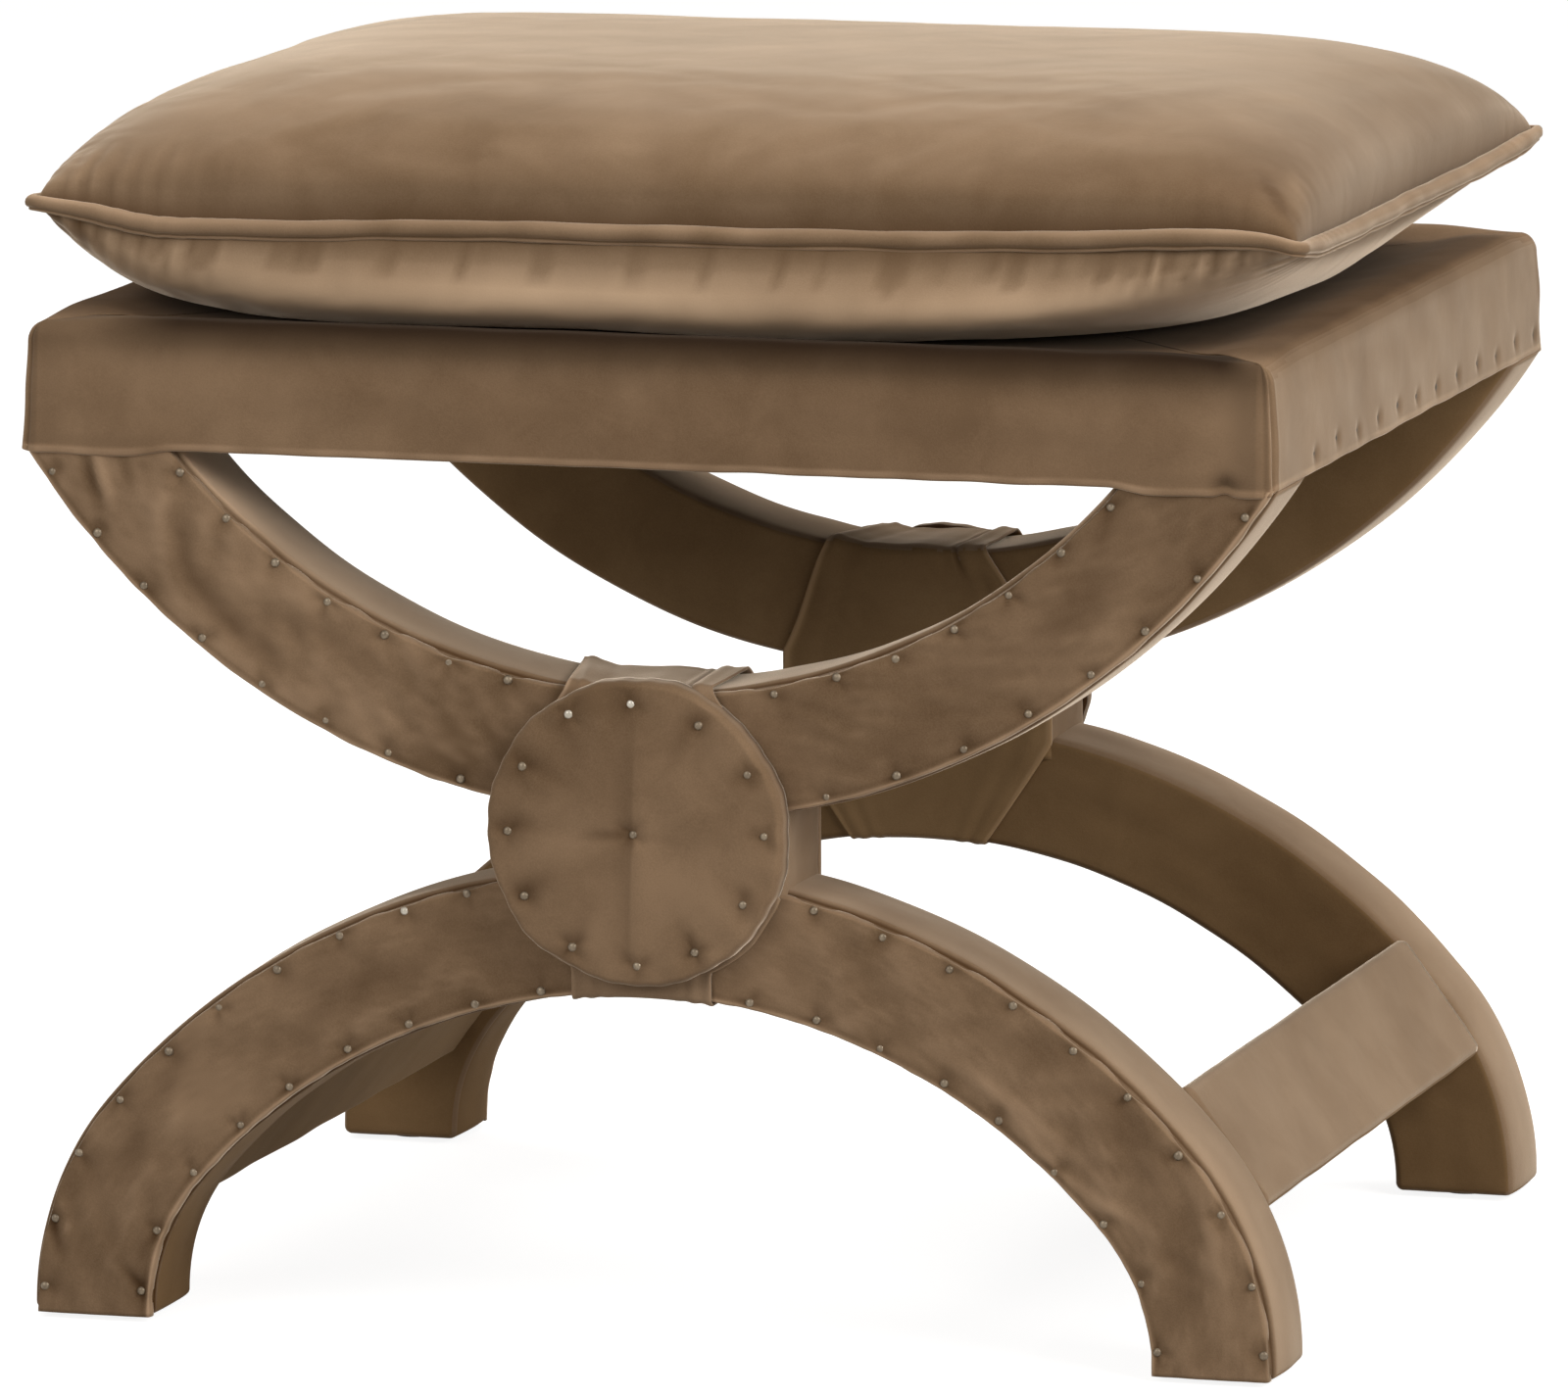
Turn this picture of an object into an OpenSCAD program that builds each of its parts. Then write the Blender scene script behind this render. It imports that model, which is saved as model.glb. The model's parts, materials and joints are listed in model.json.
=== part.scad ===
/* [Overall] */
// Width across the outer sides of the feet and of the deck
overall_w = 536; // [480:4:600]
// Depth from the front face of the front frame to the back face of the back frame
frame_depth = 450; // [400:5:520]
// Thickness of one upholstered X frame, front to back
frame_t = 49; // [42:1:56]

/* [Upholstery layers] */
// Thickness of the velvet
velvet_t = 1.2; // [0.8:0.1:1.8]
// Thickness of the wadding under the velvet
wadding_t = 3; // [2:0.5:4.5]

/* [Lower arch] */
// Height of the underside of the lower arch at its crown
crown_h = 149.5; // [140:0.5:165]
// Width of the lower arch, seen from the front
lower_w = 52; // [46:1:58]
// Inner radius of the haunch above each foot
haunch_r = 84; // [70:1:95]
// Straight length of each leg above its glide
leg_straight = 2.5; // [1:0.5:10]

/* [Upper arch] */
// Gap between the two arches at the hub
arch_gap = 21; // [16:1:30]
// Width of the upper arch, seen from the front
upper_w = 53.5; // [46:0.5:58]
// Rise from the lowest point of the upper arch to the underside of the deck
upper_rise = 146.5; // [130:0.5:165]

/* [Hub] */
// Width of the hub between the arms
hub_w = 130; // [116:2:140]
// Width of the hub wrap where it crosses the top of the upper arch
wrap_top_w = 62; // [50:2:76]
// Width of the hub wrap where it crosses the underside of the lower arch
wrap_bottom_w = 60; // [50:2:76]
// Diameter of the round medallion
medallion_d = 130; // [116:2:140]
// Height of the middle of the medallion above the middle of the hub
medallion_up = 6; // [0:0.5:8]
// Thickness of the medallion's board
medallion_board_t = 6; // [4:0.5:9]

/* [Stretchers] */
// Width of a stretcher across its sloping outer face
stretcher_w = 60; // [52:1:66]
// Thickness of a stretcher
stretcher_t = 45; // [38:1:48]
// Place of a stretcher round the haunch, up from the floor's direction, in degrees
stretcher_place = 40; // [36:1:44]
// Direction that the outer face of a stretcher looks, up from the floor's direction, in degrees
stretcher_tilt = 36; // [32:1:44]
// Distance that a stretcher sits out from the middle line of the arch
stretcher_out = 3; // [0:0.5:4]

/* [Deck] */
// Thickness of the upholstered deck
deck_t = 51; // [46:1:60]
// Distance that the deck stands proud of the frames at the front and back
deck_proud = 2; // [1:0.5:6]
// Corner radius of the deck
deck_corner_r = 8; // [6:0.5:14]
// Width of the deck's rails
rail_w = 45; // [40:1:52]
// Thickness of the deck's plywood board
board_t = 9; // [6:1:12]
// Thickness of the foam on the deck
deck_foam_t = 12; // [8:1:15]
// Length of the sides of the corner blocks
corner_block = 40; // [25:1:60]
// Thickness of the dust cover under the deck
dust_cover_t = 0.6; // [0.4:0.1:1]
// Distance that the dust cover stays in from the edge of the deck
dust_cover_in = 10; // [6:1:20]

/* [Cushion] */
// Distance that the corner of the cushion's cover reaches past the side of the deck
cushion_over = 3; // [-10:1:10]
// Distance that the corner of the cushion's cover stays back from the front of the deck
cushion_back = 28; // [15:1:40]
// Height of the cushion's seam above the deck
seam_h = 42; // [34:1:50]
// Extra height of the seam at the corners
corner_lift = 4; // [0:0.5:8]
// Height of the crown above the seam
crown_t = 57; // [40:1:70]
// Distance that the middle of each side is drawn in
side_pinch = 10; // [4:1:16]
// Diameter of the piping
piping_d = 7; // [5:0.5:9]
// Gap between the cushion and the deck
cushion_gap = 0.3; // [0.2:0.1:0.6]
// Number of cells across the width of the cushion
cells_w = 20; // [12:2:24]
// Number of cells across the depth of the cushion
cells_d = 16; // [10:2:20]

/* [Nails] */
// Diameter of a nail's domed head
nail_head_d = 6; // [4:0.5:8]
// Height of a nail's domed head
nail_head_h = 1.8; // [1:0.1:2.5]
// Diameter of a nail's shank
nail_shank_d = 1.6; // [1.2:0.1:2.4]
// Length of a nail's shank
nail_len = 12; // [9:1:14]
// Distance of the nails from the edge of an arch
nail_inset = 6; // [4.5:0.5:9]
// Spacing of the nails along an arch
nail_pitch = 30; // [22:1:40]
// Clear distance from the medallion to the first nail
nail_gap = 16; // [8:1:24]
// Clear height of the last nail below the deck and above the foot's base
nail_end = 10; // [7:1:16]
// Number of nails round the medallion
medallion_nail_n = 12; // [8:1:16]
// Distance of the medallion's nails from its rim
medallion_nail_inset = 10; // [6:1:16]
// Spacing of the nails along the deck's hem
hem_pitch = 33.5; // [25:0.5:45]
// Height of the hem's nails above the underside of the deck
hem_up = 8; // [5:0.5:12]
// Distance from the front of the deck to the first nail of the hem
hem_front = 67; // [30:1:80]
// Distance from the back of the deck to the last nail of the hem
hem_back = 18; // [12:1:40]

/* [Fasteners and glides] */
// Diameter of the wooden dowels
dowel_d = 10; // [8:1:12]
// Length of the wooden dowels
dowel_len = 80; // [60:2:84]
// Distance between the two dowels of a rail joint
rail_dowel_gap = 22; // [18:1:26]
// Distance between the two dowels of a hub
hub_dowel_gap = 60; // [40:2:80]
// Diameter of the deck bolts
bolt_d = 8; // [6:1:10]
// Diameter of the flange on a deck bolt
bolt_flange_d = 18; // [15:1:19]
// Thickness of the flange on a deck bolt
bolt_flange_t = 1.6; // [1.2:0.1:2.5]
// Size across the corners of a deck bolt's hexagon
bolt_hex_d = 14; // [12:0.5:14.5]
// Height of a deck bolt's hexagon
bolt_hex_h = 5; // [4:0.5:6]
// Depth of a deck bolt in the arm below the deck
bolt_grip = 36; // [24:1:40]
// Distance of a deck bolt from the arm's inner edge
bolt_edge = 18; // [15:1:22]
// Distance between the two deck bolts of an arm
bolt_gap = 20; // [19:1:22]
// Diameter of the wood screws
screw_d = 5; // [4:0.5:6]
// Diameter of a wood screw's countersunk head
screw_head_d = 9; // [8:0.5:10]
// Depth of the stretcher screws in the stretcher
stretcher_screw_grip = 45; // [30:1:60]
// Distance between the two screws at each end of a stretcher
stretcher_screw_gap = 26; // [20:1:30]
// Depth of the board's screws in the rails
board_screw_grip = 18; // [12:1:22]
// Depth of the medallion's screws in the hub block
medallion_screw_grip = 24; // [16:1:30]
// Distance between the two screws of a medallion
medallion_screw_gap = 36; // [30:1:40]
// Thickness of the glides under the feet
glide_t = 2.5; // [1.5:0.5:4]
// Diameter of the glides
glide_d = 24; // [18:1:30]
// Bevel round a glide's edge
glide_bevel = 1; // [0.5:0.1:1.2]
// Diameter of a glide's nail
glide_nail_d = 3; // [2:0.5:4]
// Length of a glide's nail
glide_nail_len = 16; // [12:1:25]

/* [Hidden] */
$fn = 96;
overrun = 2;
hole_slack = 0.2;
join_reach_share = 2;
puff_power_share = 6;
puff_round_share = 0.45;
belly_share = 1.3;
lift_power_share = 4;
piping_sides = 8;
board_screw_share = 0.45;

velvet = [0.50, 0.41, 0.31];
velvet_light = [0.62, 0.53, 0.43];
velvet_dark = [0.36, 0.28, 0.20];
timber = [0.80, 0.66, 0.46];
plywood = [0.86, 0.75, 0.56];
wadding = [0.94, 0.93, 0.89];
foam = [0.93, 0.88, 0.66];
pewter = [0.72, 0.70, 0.66];
steel = [0.62, 0.64, 0.67];
nylon = [0.20, 0.18, 0.16];
cambric = [0.12, 0.12, 0.12];

half_w = overall_w / 2;
face_y = -frame_depth / 2;
inner_y = face_y + frame_t;
frame_mid_y = (face_y + inner_y) / 2;
skin_t = velvet_t + wadding_t;

haunch_z = glide_t + leg_straight;
haunch_x = half_w - lower_w - haunch_r;
haunch_rise = crown_h - haunch_z;
crown_r = (pow(haunch_x, 2) + pow(haunch_rise, 2) - pow(haunch_r, 2)) / (2 * (haunch_rise - haunch_r));
crown_z = crown_h - crown_r;
join_angle = atan2(haunch_x, haunch_z - crown_z);

upper_low = crown_h + lower_w + arch_gap;
deck_under = upper_low + upper_rise;
upper_ro = (pow(half_w, 2) + pow(upper_rise, 2)) / (2 * upper_rise);
upper_ri = upper_ro - upper_w;
upper_z = upper_low + upper_ro;

hub_half = hub_w / 2;
block_half = hub_half - skin_t;
hub_mid = (crown_h + upper_low + upper_w) / 2;
medallion_z = hub_mid + medallion_up;
medallion_r = medallion_d / 2;
medallion_y = face_y - velvet_t;
medallion_t = medallion_board_t + skin_t;
medallion_screw_len = medallion_board_t + velvet_t + skin_t + medallion_screw_grip;

stretcher_r = haunch_r + lower_w / 2 + stretcher_out;
stretcher_x = haunch_x + stretcher_r * cos(stretcher_place);
stretcher_z = haunch_z + stretcher_r * sin(stretcher_place);

deck_half_d = frame_depth / 2 + deck_proud;
wood_half_w = half_w - skin_t;
wood_half_d = deck_half_d - skin_t;
deck_top = deck_under + deck_t;
board_top = deck_top - velvet_t - deck_foam_t;
rail_top = board_top - board_t;
rail_h = rail_top - deck_under;
rail_in_x = wood_half_w - rail_w;
rail_in_y = wood_half_d - rail_w;
arm_in_x = sqrt(pow(upper_ri, 2) - pow(upper_z - deck_under, 2));
bolt_x = arm_in_x + bolt_edge;
bolt_seat = rail_top - bolt_flange_t - bolt_hex_h - hole_slack;

cushion_half_w = half_w + cushion_over;
cushion_half_d = deck_half_d - cushion_back;
seam_z = deck_top + seam_h;
belly_z = deck_top + cushion_gap + velvet_t;
piping_r = piping_d / 2;
piping_out = sqrt(pow(piping_r, 2) - pow(velvet_t, 2));
piping_gap_angle = asin(velvet_t / piping_r);
rim_n = 2 * (cells_w + cells_d);

// A front view outline made solid between two depths
module slab(y0, y1) {
    translate([0, y1, 0])
        rotate([90, 0, 0])
            linear_extrude(height = y1 - y0)
                children();
}

// The same thing on the back frame
module at_back() {
    mirror([0, 1, 0]) children();
}

module ring_2d(r_out, r_in) {
    difference() {
        circle(r = r_out);
        circle(r = r_in);
    }
}

// A point on a circle, with the angle counted from straight up
function ray(r, a) = [r * sin(a), r * cos(a)];

// The upper arch from the front, drawn in all round by inset
module upper_band(inset, over = 0) {
    intersection() {
        translate([0, upper_z]) ring_2d(upper_ro - inset, upper_ri + inset);
        translate([-upper_ro, upper_low - overrun])
            square([2 * upper_ro, upper_rise + overrun + over]);
    }
}

// The lower arch from the front: a crown arc, two haunch arcs and two short straight legs.
// The arcs are cut along the same lines, and a splice inside the band lies across each join.
module lower_band(inset, base) {
    reach = join_reach_share * (haunch_r + lower_w);
    join_far = [haunch_x, haunch_z] + ray(reach, join_angle);
    splice_w = lower_w - 2 * inset - 2 * hole_slack;
    splice_at = [0, crown_z] + ray(crown_r + lower_w / 2, join_angle);
    intersection() {
        translate([0, crown_z]) ring_2d(crown_r + lower_w - inset, crown_r + inset);
        polygon([
            [-haunch_x, haunch_z],
            [-join_far[0], join_far[1]],
            [0, join_reach_share * join_far[1]],
            join_far,
            [haunch_x, haunch_z]
        ]);
    }
    for (side = [-1, 1]) {
        intersection() {
            translate([side * haunch_x, haunch_z]) ring_2d(haunch_r + lower_w - inset, haunch_r + inset);
            polygon([
                [side * haunch_x, haunch_z],
                [side * join_far[0], join_far[1]],
                [side * (haunch_x + reach), join_far[1]],
                [side * (haunch_x + reach), haunch_z]
            ]);
        }
        translate([side * splice_at[0], splice_at[1]])
            rotate(-side * join_angle)
                square([2 * overrun, splice_w], center = true);
        translate([side * (half_w - lower_w / 2), base]) {
            translate([-lower_w / 2 + inset, 0]) square([lower_w - 2 * inset, haunch_z - base]);
            translate([-splice_w / 2, 0]) square([splice_w, haunch_z - base + overrun]);
        }
    }
}

// Height of the upper arch's circles and of the lower arch's crown circles at a place across the object
function upper_curve(r, x) = upper_z - sqrt(r * r - x * x);
function lower_curve(r, x) = crown_z + sqrt(r * r - x * x);

// Outline of the block between the arches
module between_arches(half, upper_r, lower_r) {
    difference() {
        translate([-half, crown_z])
            square([2 * half, upper_z - crown_z]);
        translate([0, upper_z]) circle(r = upper_r);
        translate([0, crown_z]) circle(r = lower_r);
    }
}

module hub_block_solid() {
    slab(face_y + skin_t, inner_y - skin_t)
        between_arches(block_half, upper_ro - skin_t, crown_r + lower_w - skin_t);
}

// Places of the two stretchers, with the section's own axes turned to its slope
module at_stretcher(side) {
    translate([side * stretcher_x, stretcher_z])
        rotate(side * (stretcher_tilt - 90))
            children();
}

module stretcher_section(side, inset) {
    at_stretcher(side)
        square([stretcher_w - 2 * inset, stretcher_t - 2 * inset], center = true);
}

// Fasteners, each drawn with its head's seat at the origin and its shank going down
module nail(len = nail_len) {
    dome_r = (pow(nail_head_d / 2, 2) + pow(nail_head_h, 2)) / (2 * nail_head_h);
    rotate_extrude() {
        intersection() {
            translate([0, nail_head_h - dome_r]) circle(r = dome_r);
            square([nail_head_d / 2, nail_head_h]);
        }
        polygon([
            [0, nail_head_h / 2],
            [nail_shank_d / 2, nail_head_h / 2],
            [nail_shank_d / 2, nail_shank_d - len],
            [0, -len]
        ]);
    }
}

module screw(len, slack = 0) {
    head_h = (screw_head_d - screw_d) / 2;
    rotate_extrude()
        polygon([
            [0, 0],
            [screw_head_d / 2 + slack, 0],
            [screw_d / 2 + slack, -head_h],
            [screw_d / 2 + slack, -len + screw_d],
            [0, -len]
        ]);
}

module dowel() {
    cylinder(d = dowel_d, h = dowel_len, center = true);
}

module deck_bolt() {
    depth = bolt_seat - deck_under + bolt_grip;
    cylinder(d = bolt_flange_d, h = bolt_flange_t);
    cylinder(d = bolt_hex_d, h = bolt_flange_t + bolt_hex_h, $fn = 6);
    translate([0, 0, -depth]) cylinder(d = bolt_d, h = depth + bolt_flange_t);
}

// Rows of nails on an arch, as places across and up
function arc_len(r, a) = r * a * PI / 180;
function arc_angle(r, s) = s / r * 180 / PI;
function row_steps(span) = max(1, round(span / nail_pitch));
function first_angle(r, centre_z) =
    let (
        clear_r = medallion_r + nail_gap,
        rise = centre_z - medallion_z,
        z = (pow(centre_z, 2) - pow(medallion_z, 2) - pow(r, 2) + pow(clear_r, 2)) / (2 * rise)
    )
    acos(abs(z - centre_z) / r);

function upper_row(r) =
    let (
        a0 = first_angle(r, upper_z),
        a1 = acos((upper_z - deck_under + nail_end) / r),
        n = row_steps(arc_len(r, a1 - a0))
    )
    [for (i = [0:n]) let (a = a0 + (a1 - a0) * i / n) [r * sin(a), upper_z - r * cos(a)]];

function lower_spot(r, h, s) =
    let (turn = arc_len(r, join_angle))
    s <= turn
        ? [0, crown_z] + ray(r, arc_angle(r, s))
        : [haunch_x, haunch_z] + ray(h, join_angle + arc_angle(h, s - turn));

function lower_row(offset) =
    let (
        r = crown_r + offset,
        h = haunch_r + offset,
        s0 = arc_len(r, first_angle(r, crown_z)),
        last = acos((glide_t + nail_end - haunch_z) / h),
        s1 = arc_len(r, join_angle) + arc_len(h, last - join_angle),
        n = row_steps(s1 - s0)
    )
    [for (i = [0:n]) lower_spot(r, h, s0 + (s1 - s0) * i / n)];

module nails_on_face(places) {
    for (side = [-1, 1], p = places)
        translate([side * p[0], face_y, p[1]])
            rotate([90, 0, 0])
                nail();
}

// Screws and dowels where they stand, so that holes and fasteners share one place
module stretcher_screw_places() {
    for (side = [-1, 1], k = [-1, 1])
        translate([0, face_y + skin_t, 0])
            rotate([90, 0, 0])
                linear_place(side, k)
                    children();
}

module linear_place(side, k) {
    translate([side * stretcher_x, stretcher_z, 0])
        rotate([0, 0, side * (stretcher_tilt - 90)])
            translate([k * stretcher_screw_gap / 2, 0, 0])
                children();
}

module hub_dowel_places() {
    for (side = [-1, 1]) {
        x = side * hub_dowel_gap / 2;
        z = (upper_curve(upper_ro - skin_t, x) + lower_curve(crown_r + lower_w - skin_t, x)) / 2;
        translate([x, frame_mid_y, z]) children();
    }
}

module rail_dowel_places() {
    for (side = [-1, 1], k = [-1, 1]) {
        x = side * (rail_in_x + rail_w / 2) + k * rail_dowel_gap / 2;
        translate([x, -rail_in_y, deck_under + rail_h / 2])
            rotate([90, 0, 0])
                children();
    }
}

module bolt_places() {
    for (side = [-1, 1], k = [-1, 1])
        translate([side * bolt_x, frame_mid_y + k * bolt_gap / 2, bolt_seat])
            children();
}

module medallion_screw_places() {
    seat_y = medallion_y - medallion_board_t;
    for (side = [-1, 1])
        translate([side * medallion_screw_gap / 2, seat_y, upper_low - arch_gap / 2])
            rotate([90, 0, 0])
                children();
}

module board_screw_places() {
    mid_x = wood_half_w - rail_w / 2;
    mid_y = wood_half_d - rail_w / 2;
    for (side = [-1, 1], k = [-1, 1]) {
        translate([k * wood_half_w * board_screw_share, side * mid_y, board_top]) children();
        translate([side * mid_x, k * rail_in_y * board_screw_share, board_top]) children();
    }
}

module glide_places() {
    for (side = [-1, 1], end = [-1, 1])
        translate([side * (half_w - lower_w / 2), end * frame_mid_y, 0])
            children();
}

// Upper arch
module front_upper_core() {
    color(timber)
        difference() {
            slab(face_y + skin_t, inner_y - skin_t) upper_band(skin_t);
            bolt_places() deck_bolt();
            hub_dowel_places() dowel();
        }
}

module front_upper_wadding() {
    color(wadding)
        difference() {
            slab(face_y + velvet_t, inner_y - velvet_t) upper_band(velvet_t);
            slab(face_y + skin_t, inner_y - skin_t) upper_band(skin_t, overrun);
            hub_block_solid();
        }
}

module front_upper_wrap() {
    color(velvet_light)
        difference() {
            slab(face_y + velvet_t, inner_y) upper_band(0);
            slab(face_y, inner_y - velvet_t) upper_band(velvet_t, overrun);
            hub_block_solid();
        }
}

module front_upper_face() {
    color(velvet)
        slab(face_y, face_y + velvet_t) upper_band(0);
}

module front_upper_nails() {
    color(pewter) {
        nails_on_face(upper_row(upper_ri + nail_inset));
        nails_on_face(upper_row(upper_ro - nail_inset));
    }
}

// Lower arch
module front_lower_core() {
    color(timber)
        difference() {
            slab(face_y + skin_t, inner_y - skin_t) lower_band(skin_t, glide_t + velvet_t);
            stretcher_screw_places() stretcher_screw(hole_slack);
            hub_dowel_places() dowel();
        }
}

module front_lower_wadding() {
    color(wadding)
        difference() {
            slab(face_y + velvet_t, inner_y - velvet_t) lower_band(velvet_t, glide_t + velvet_t);
            slab(face_y + skin_t, inner_y - skin_t) lower_band(skin_t, glide_t);
            hub_block_solid();
            stretcher_cut();
        }
}

module front_lower_wrap() {
    color(velvet_light)
        difference() {
            slab(face_y + velvet_t, inner_y) lower_band(0, glide_t);
            slab(face_y, inner_y - velvet_t) lower_band(velvet_t, glide_t + velvet_t);
            hub_block_solid();
            stretcher_cut();
        }
}

module front_lower_face() {
    color(velvet)
        slab(face_y, face_y + velvet_t) lower_band(0, glide_t);
}

module front_lower_nails() {
    color(pewter) {
        nails_on_face(lower_row(nail_inset));
        nails_on_face(lower_row(lower_w - nail_inset));
    }
}

module stretcher_cut() {
    for (side = [-1, 1])
        slab(inner_y - skin_t, inner_y + overrun) stretcher_section(side, skin_t);
}

module back_upper_core() { at_back() front_upper_core(); }
module back_upper_wadding() { at_back() front_upper_wadding(); }
module back_upper_wrap() { at_back() front_upper_wrap(); }
module back_upper_face() { at_back() front_upper_face(); }
module back_upper_nails() { at_back() front_upper_nails(); }
module back_lower_core() { at_back() front_lower_core(); }
module back_lower_wadding() { at_back() front_lower_wadding(); }
module back_lower_wrap() { at_back() front_lower_wrap(); }
module back_lower_face() { at_back() front_lower_face(); }
module back_lower_nails() { at_back() front_lower_nails(); }

// Hub
module front_hub_block() {
    color(timber)
        difference() {
            hub_block_solid();
            hub_dowel_places() dowel();
        }
}

module front_hub_wadding() {
    color(wadding)
        difference() {
            slab(face_y, inner_y) between_arches(hub_half - velvet_t, upper_ro, crown_r + lower_w);
            hub_block_solid();
            medallion_screw_places() screw(medallion_screw_len, hole_slack);
        }
}

// The hourglass band of velvet round the crossing
module front_hub_wrap() {
    top = [wrap_top_w / 2, upper_curve(upper_ri, wrap_top_w / 2) + velvet_t];
    side_top = [hub_half, upper_curve(upper_ro, hub_half)];
    side_low = [hub_half, lower_curve(crown_r + lower_w, hub_half)];
    bottom = [wrap_bottom_w / 2, lower_curve(crown_r, wrap_bottom_w / 2) - velvet_t];
    right = [top, side_top, side_low, bottom];
    left = [for (i = [len(right) - 1:-1:0]) [-right[i][0], right[i][1]]];
    color(velvet_dark)
        difference() {
            slab(face_y - velvet_t, inner_y + velvet_t)
                difference() {
                    polygon(concat(right, left));
                    translate([0, upper_z]) circle(r = upper_ri - velvet_t);
                    translate([0, crown_z]) circle(r = crown_r - velvet_t);
                }
            slab(face_y, inner_y) {
                between_arches(hub_half - velvet_t, upper_ri, crown_r);
                upper_band(0);
                lower_band(0, glide_t);
            }
            medallion_screw_places() screw(medallion_screw_len, hole_slack);
        }
}

module medallion_disc(r, y0, y1) {
    translate([0, y1, medallion_z])
        rotate([90, 0, 0])
            cylinder(r = r, h = y1 - y0);
}

module front_medallion_board() {
    color(plywood)
        difference() {
            medallion_disc(medallion_r - skin_t, medallion_y - medallion_board_t, medallion_y);
            medallion_screw_places() screw(medallion_screw_len, hole_slack);
        }
}

module front_medallion_wadding() {
    board_y = medallion_y - medallion_board_t;
    color(wadding)
        difference() {
            medallion_disc(medallion_r - velvet_t, board_y - wadding_t, medallion_y);
            medallion_disc(medallion_r - skin_t, board_y, medallion_y + overrun);
        }
}

module front_medallion_cover() {
    cover_y = medallion_y - medallion_t;
    color(velvet)
        difference() {
            medallion_disc(medallion_r, cover_y, medallion_y);
            medallion_disc(medallion_r - velvet_t, cover_y + velvet_t, medallion_y + overrun);
        }
}

module front_medallion_nails() {
    spots = concat([[0, 0]], [for (i = [0:medallion_nail_n - 1])
        ray(medallion_r - medallion_nail_inset, i * 360 / medallion_nail_n)]);
    color(pewter)
        for (p = spots)
            translate([p[0], medallion_y - medallion_t, medallion_z + p[1]])
                rotate([90, 0, 0])
                    nail(medallion_t - hole_slack);
}

module back_hub_block() { at_back() front_hub_block(); }
module back_hub_wadding() { at_back() front_hub_wadding(); }
module back_hub_wrap() { at_back() front_hub_wrap(); }
module back_medallion_board() { at_back() front_medallion_board(); }
module back_medallion_wadding() { at_back() front_medallion_wadding(); }
module back_medallion_cover() { at_back() front_medallion_cover(); }
module back_medallion_nails() { at_back() front_medallion_nails(); }

module medallion_screws() {
    color(steel) {
        medallion_screw_places() screw(medallion_screw_len);
        at_back() medallion_screw_places() screw(medallion_screw_len);
    }
}

module dowels() {
    color(timber) {
        hub_dowel_places() dowel();
        at_back() hub_dowel_places() dowel();
        rail_dowel_places() dowel();
        at_back() rail_dowel_places() dowel();
    }
}

// Stretchers between the front and back lower arches
module stretcher_core(side) {
    color(timber)
        slab(inner_y - skin_t, skin_t - inner_y) stretcher_section(side, skin_t);
}

module stretcher_wadding(side) {
    color(wadding)
        slab(inner_y, -inner_y)
            difference() {
                stretcher_section(side, velvet_t);
                stretcher_section(side, skin_t);
            }
}

module stretcher_cover(side) {
    color(velvet)
        slab(inner_y, -inner_y)
            difference() {
                stretcher_section(side, 0);
                stretcher_section(side, velvet_t);
            }
}

module left_stretcher_core() { stretcher_core(-1); }
module left_stretcher_wadding() { stretcher_wadding(-1); }
module left_stretcher_cover() { stretcher_cover(-1); }
module right_stretcher_core() { stretcher_core(1); }
module right_stretcher_wadding() { stretcher_wadding(1); }
module right_stretcher_cover() { stretcher_cover(1); }

module stretcher_screw(slack = 0) {
    screw(frame_t - 2 * skin_t + stretcher_screw_grip, slack);
}

module stretcher_screws() {
    color(steel) {
        stretcher_screw_places() stretcher_screw();
        at_back() stretcher_screw_places() stretcher_screw();
    }
}

// Deck
module rounded_plate(half_x, half_y, r) {
    square([2 * half_x - 2 * r, 2 * half_y], center = true);
    square([2 * half_x, 2 * half_y - 2 * r], center = true);
    for (sx = [-1, 1], sy = [-1, 1])
        translate([sx * (half_x - r), sy * (half_y - r)])
            circle(r = r);
}

module wood_block(z0, z1) {
    translate([0, 0, z0])
        linear_extrude(height = z1 - z0)
            rounded_plate(wood_half_w, wood_half_d, deck_corner_r - skin_t);
}

module deck_bolt_hole() {
    cylinder(d = bolt_flange_d + 2 * hole_slack, h = rail_top - bolt_seat + overrun);
    translate([0, 0, deck_under - bolt_seat - overrun])
        cylinder(d = bolt_d + 2 * hole_slack, h = bolt_seat - deck_under + 2 * overrun);
}

module front_rail() {
    color(timber)
        difference() {
            intersection() {
                wood_block(deck_under, rail_top);
                translate([-half_w, -deck_half_d, deck_under])
                    cube([2 * half_w, deck_half_d - rail_in_y, rail_h]);
            }
            bolt_places() deck_bolt_hole();
            rail_dowel_places() dowel();
            board_screw_places() screw(board_t + board_screw_grip);
        }
}

module back_rail() { at_back() front_rail(); }

module side_rail(side) {
    color(timber)
        difference() {
            translate([side * (rail_in_x + rail_w / 2) - rail_w / 2, -rail_in_y, deck_under])
                cube([rail_w, 2 * rail_in_y, rail_h]);
            rail_dowel_places() dowel();
            at_back() rail_dowel_places() dowel();
            board_screw_places() screw(board_t + board_screw_grip);
        }
}

module left_rail() { side_rail(-1); }
module right_rail() { side_rail(1); }

module corner_blocks() {
    color(timber)
        for (sx = [0, 1], sy = [0, 1])
            mirror([sx, 0, 0])
                mirror([0, sy, 0])
                    translate([rail_in_x, rail_in_y, deck_under])
                        linear_extrude(height = rail_h)
                            polygon([[0, 0], [-corner_block, 0], [0, -corner_block]]);
}

module deck_board() {
    color(plywood)
        difference() {
            wood_block(rail_top, board_top);
            board_screw_places() screw(board_t + board_screw_grip, hole_slack);
        }
}

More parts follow.
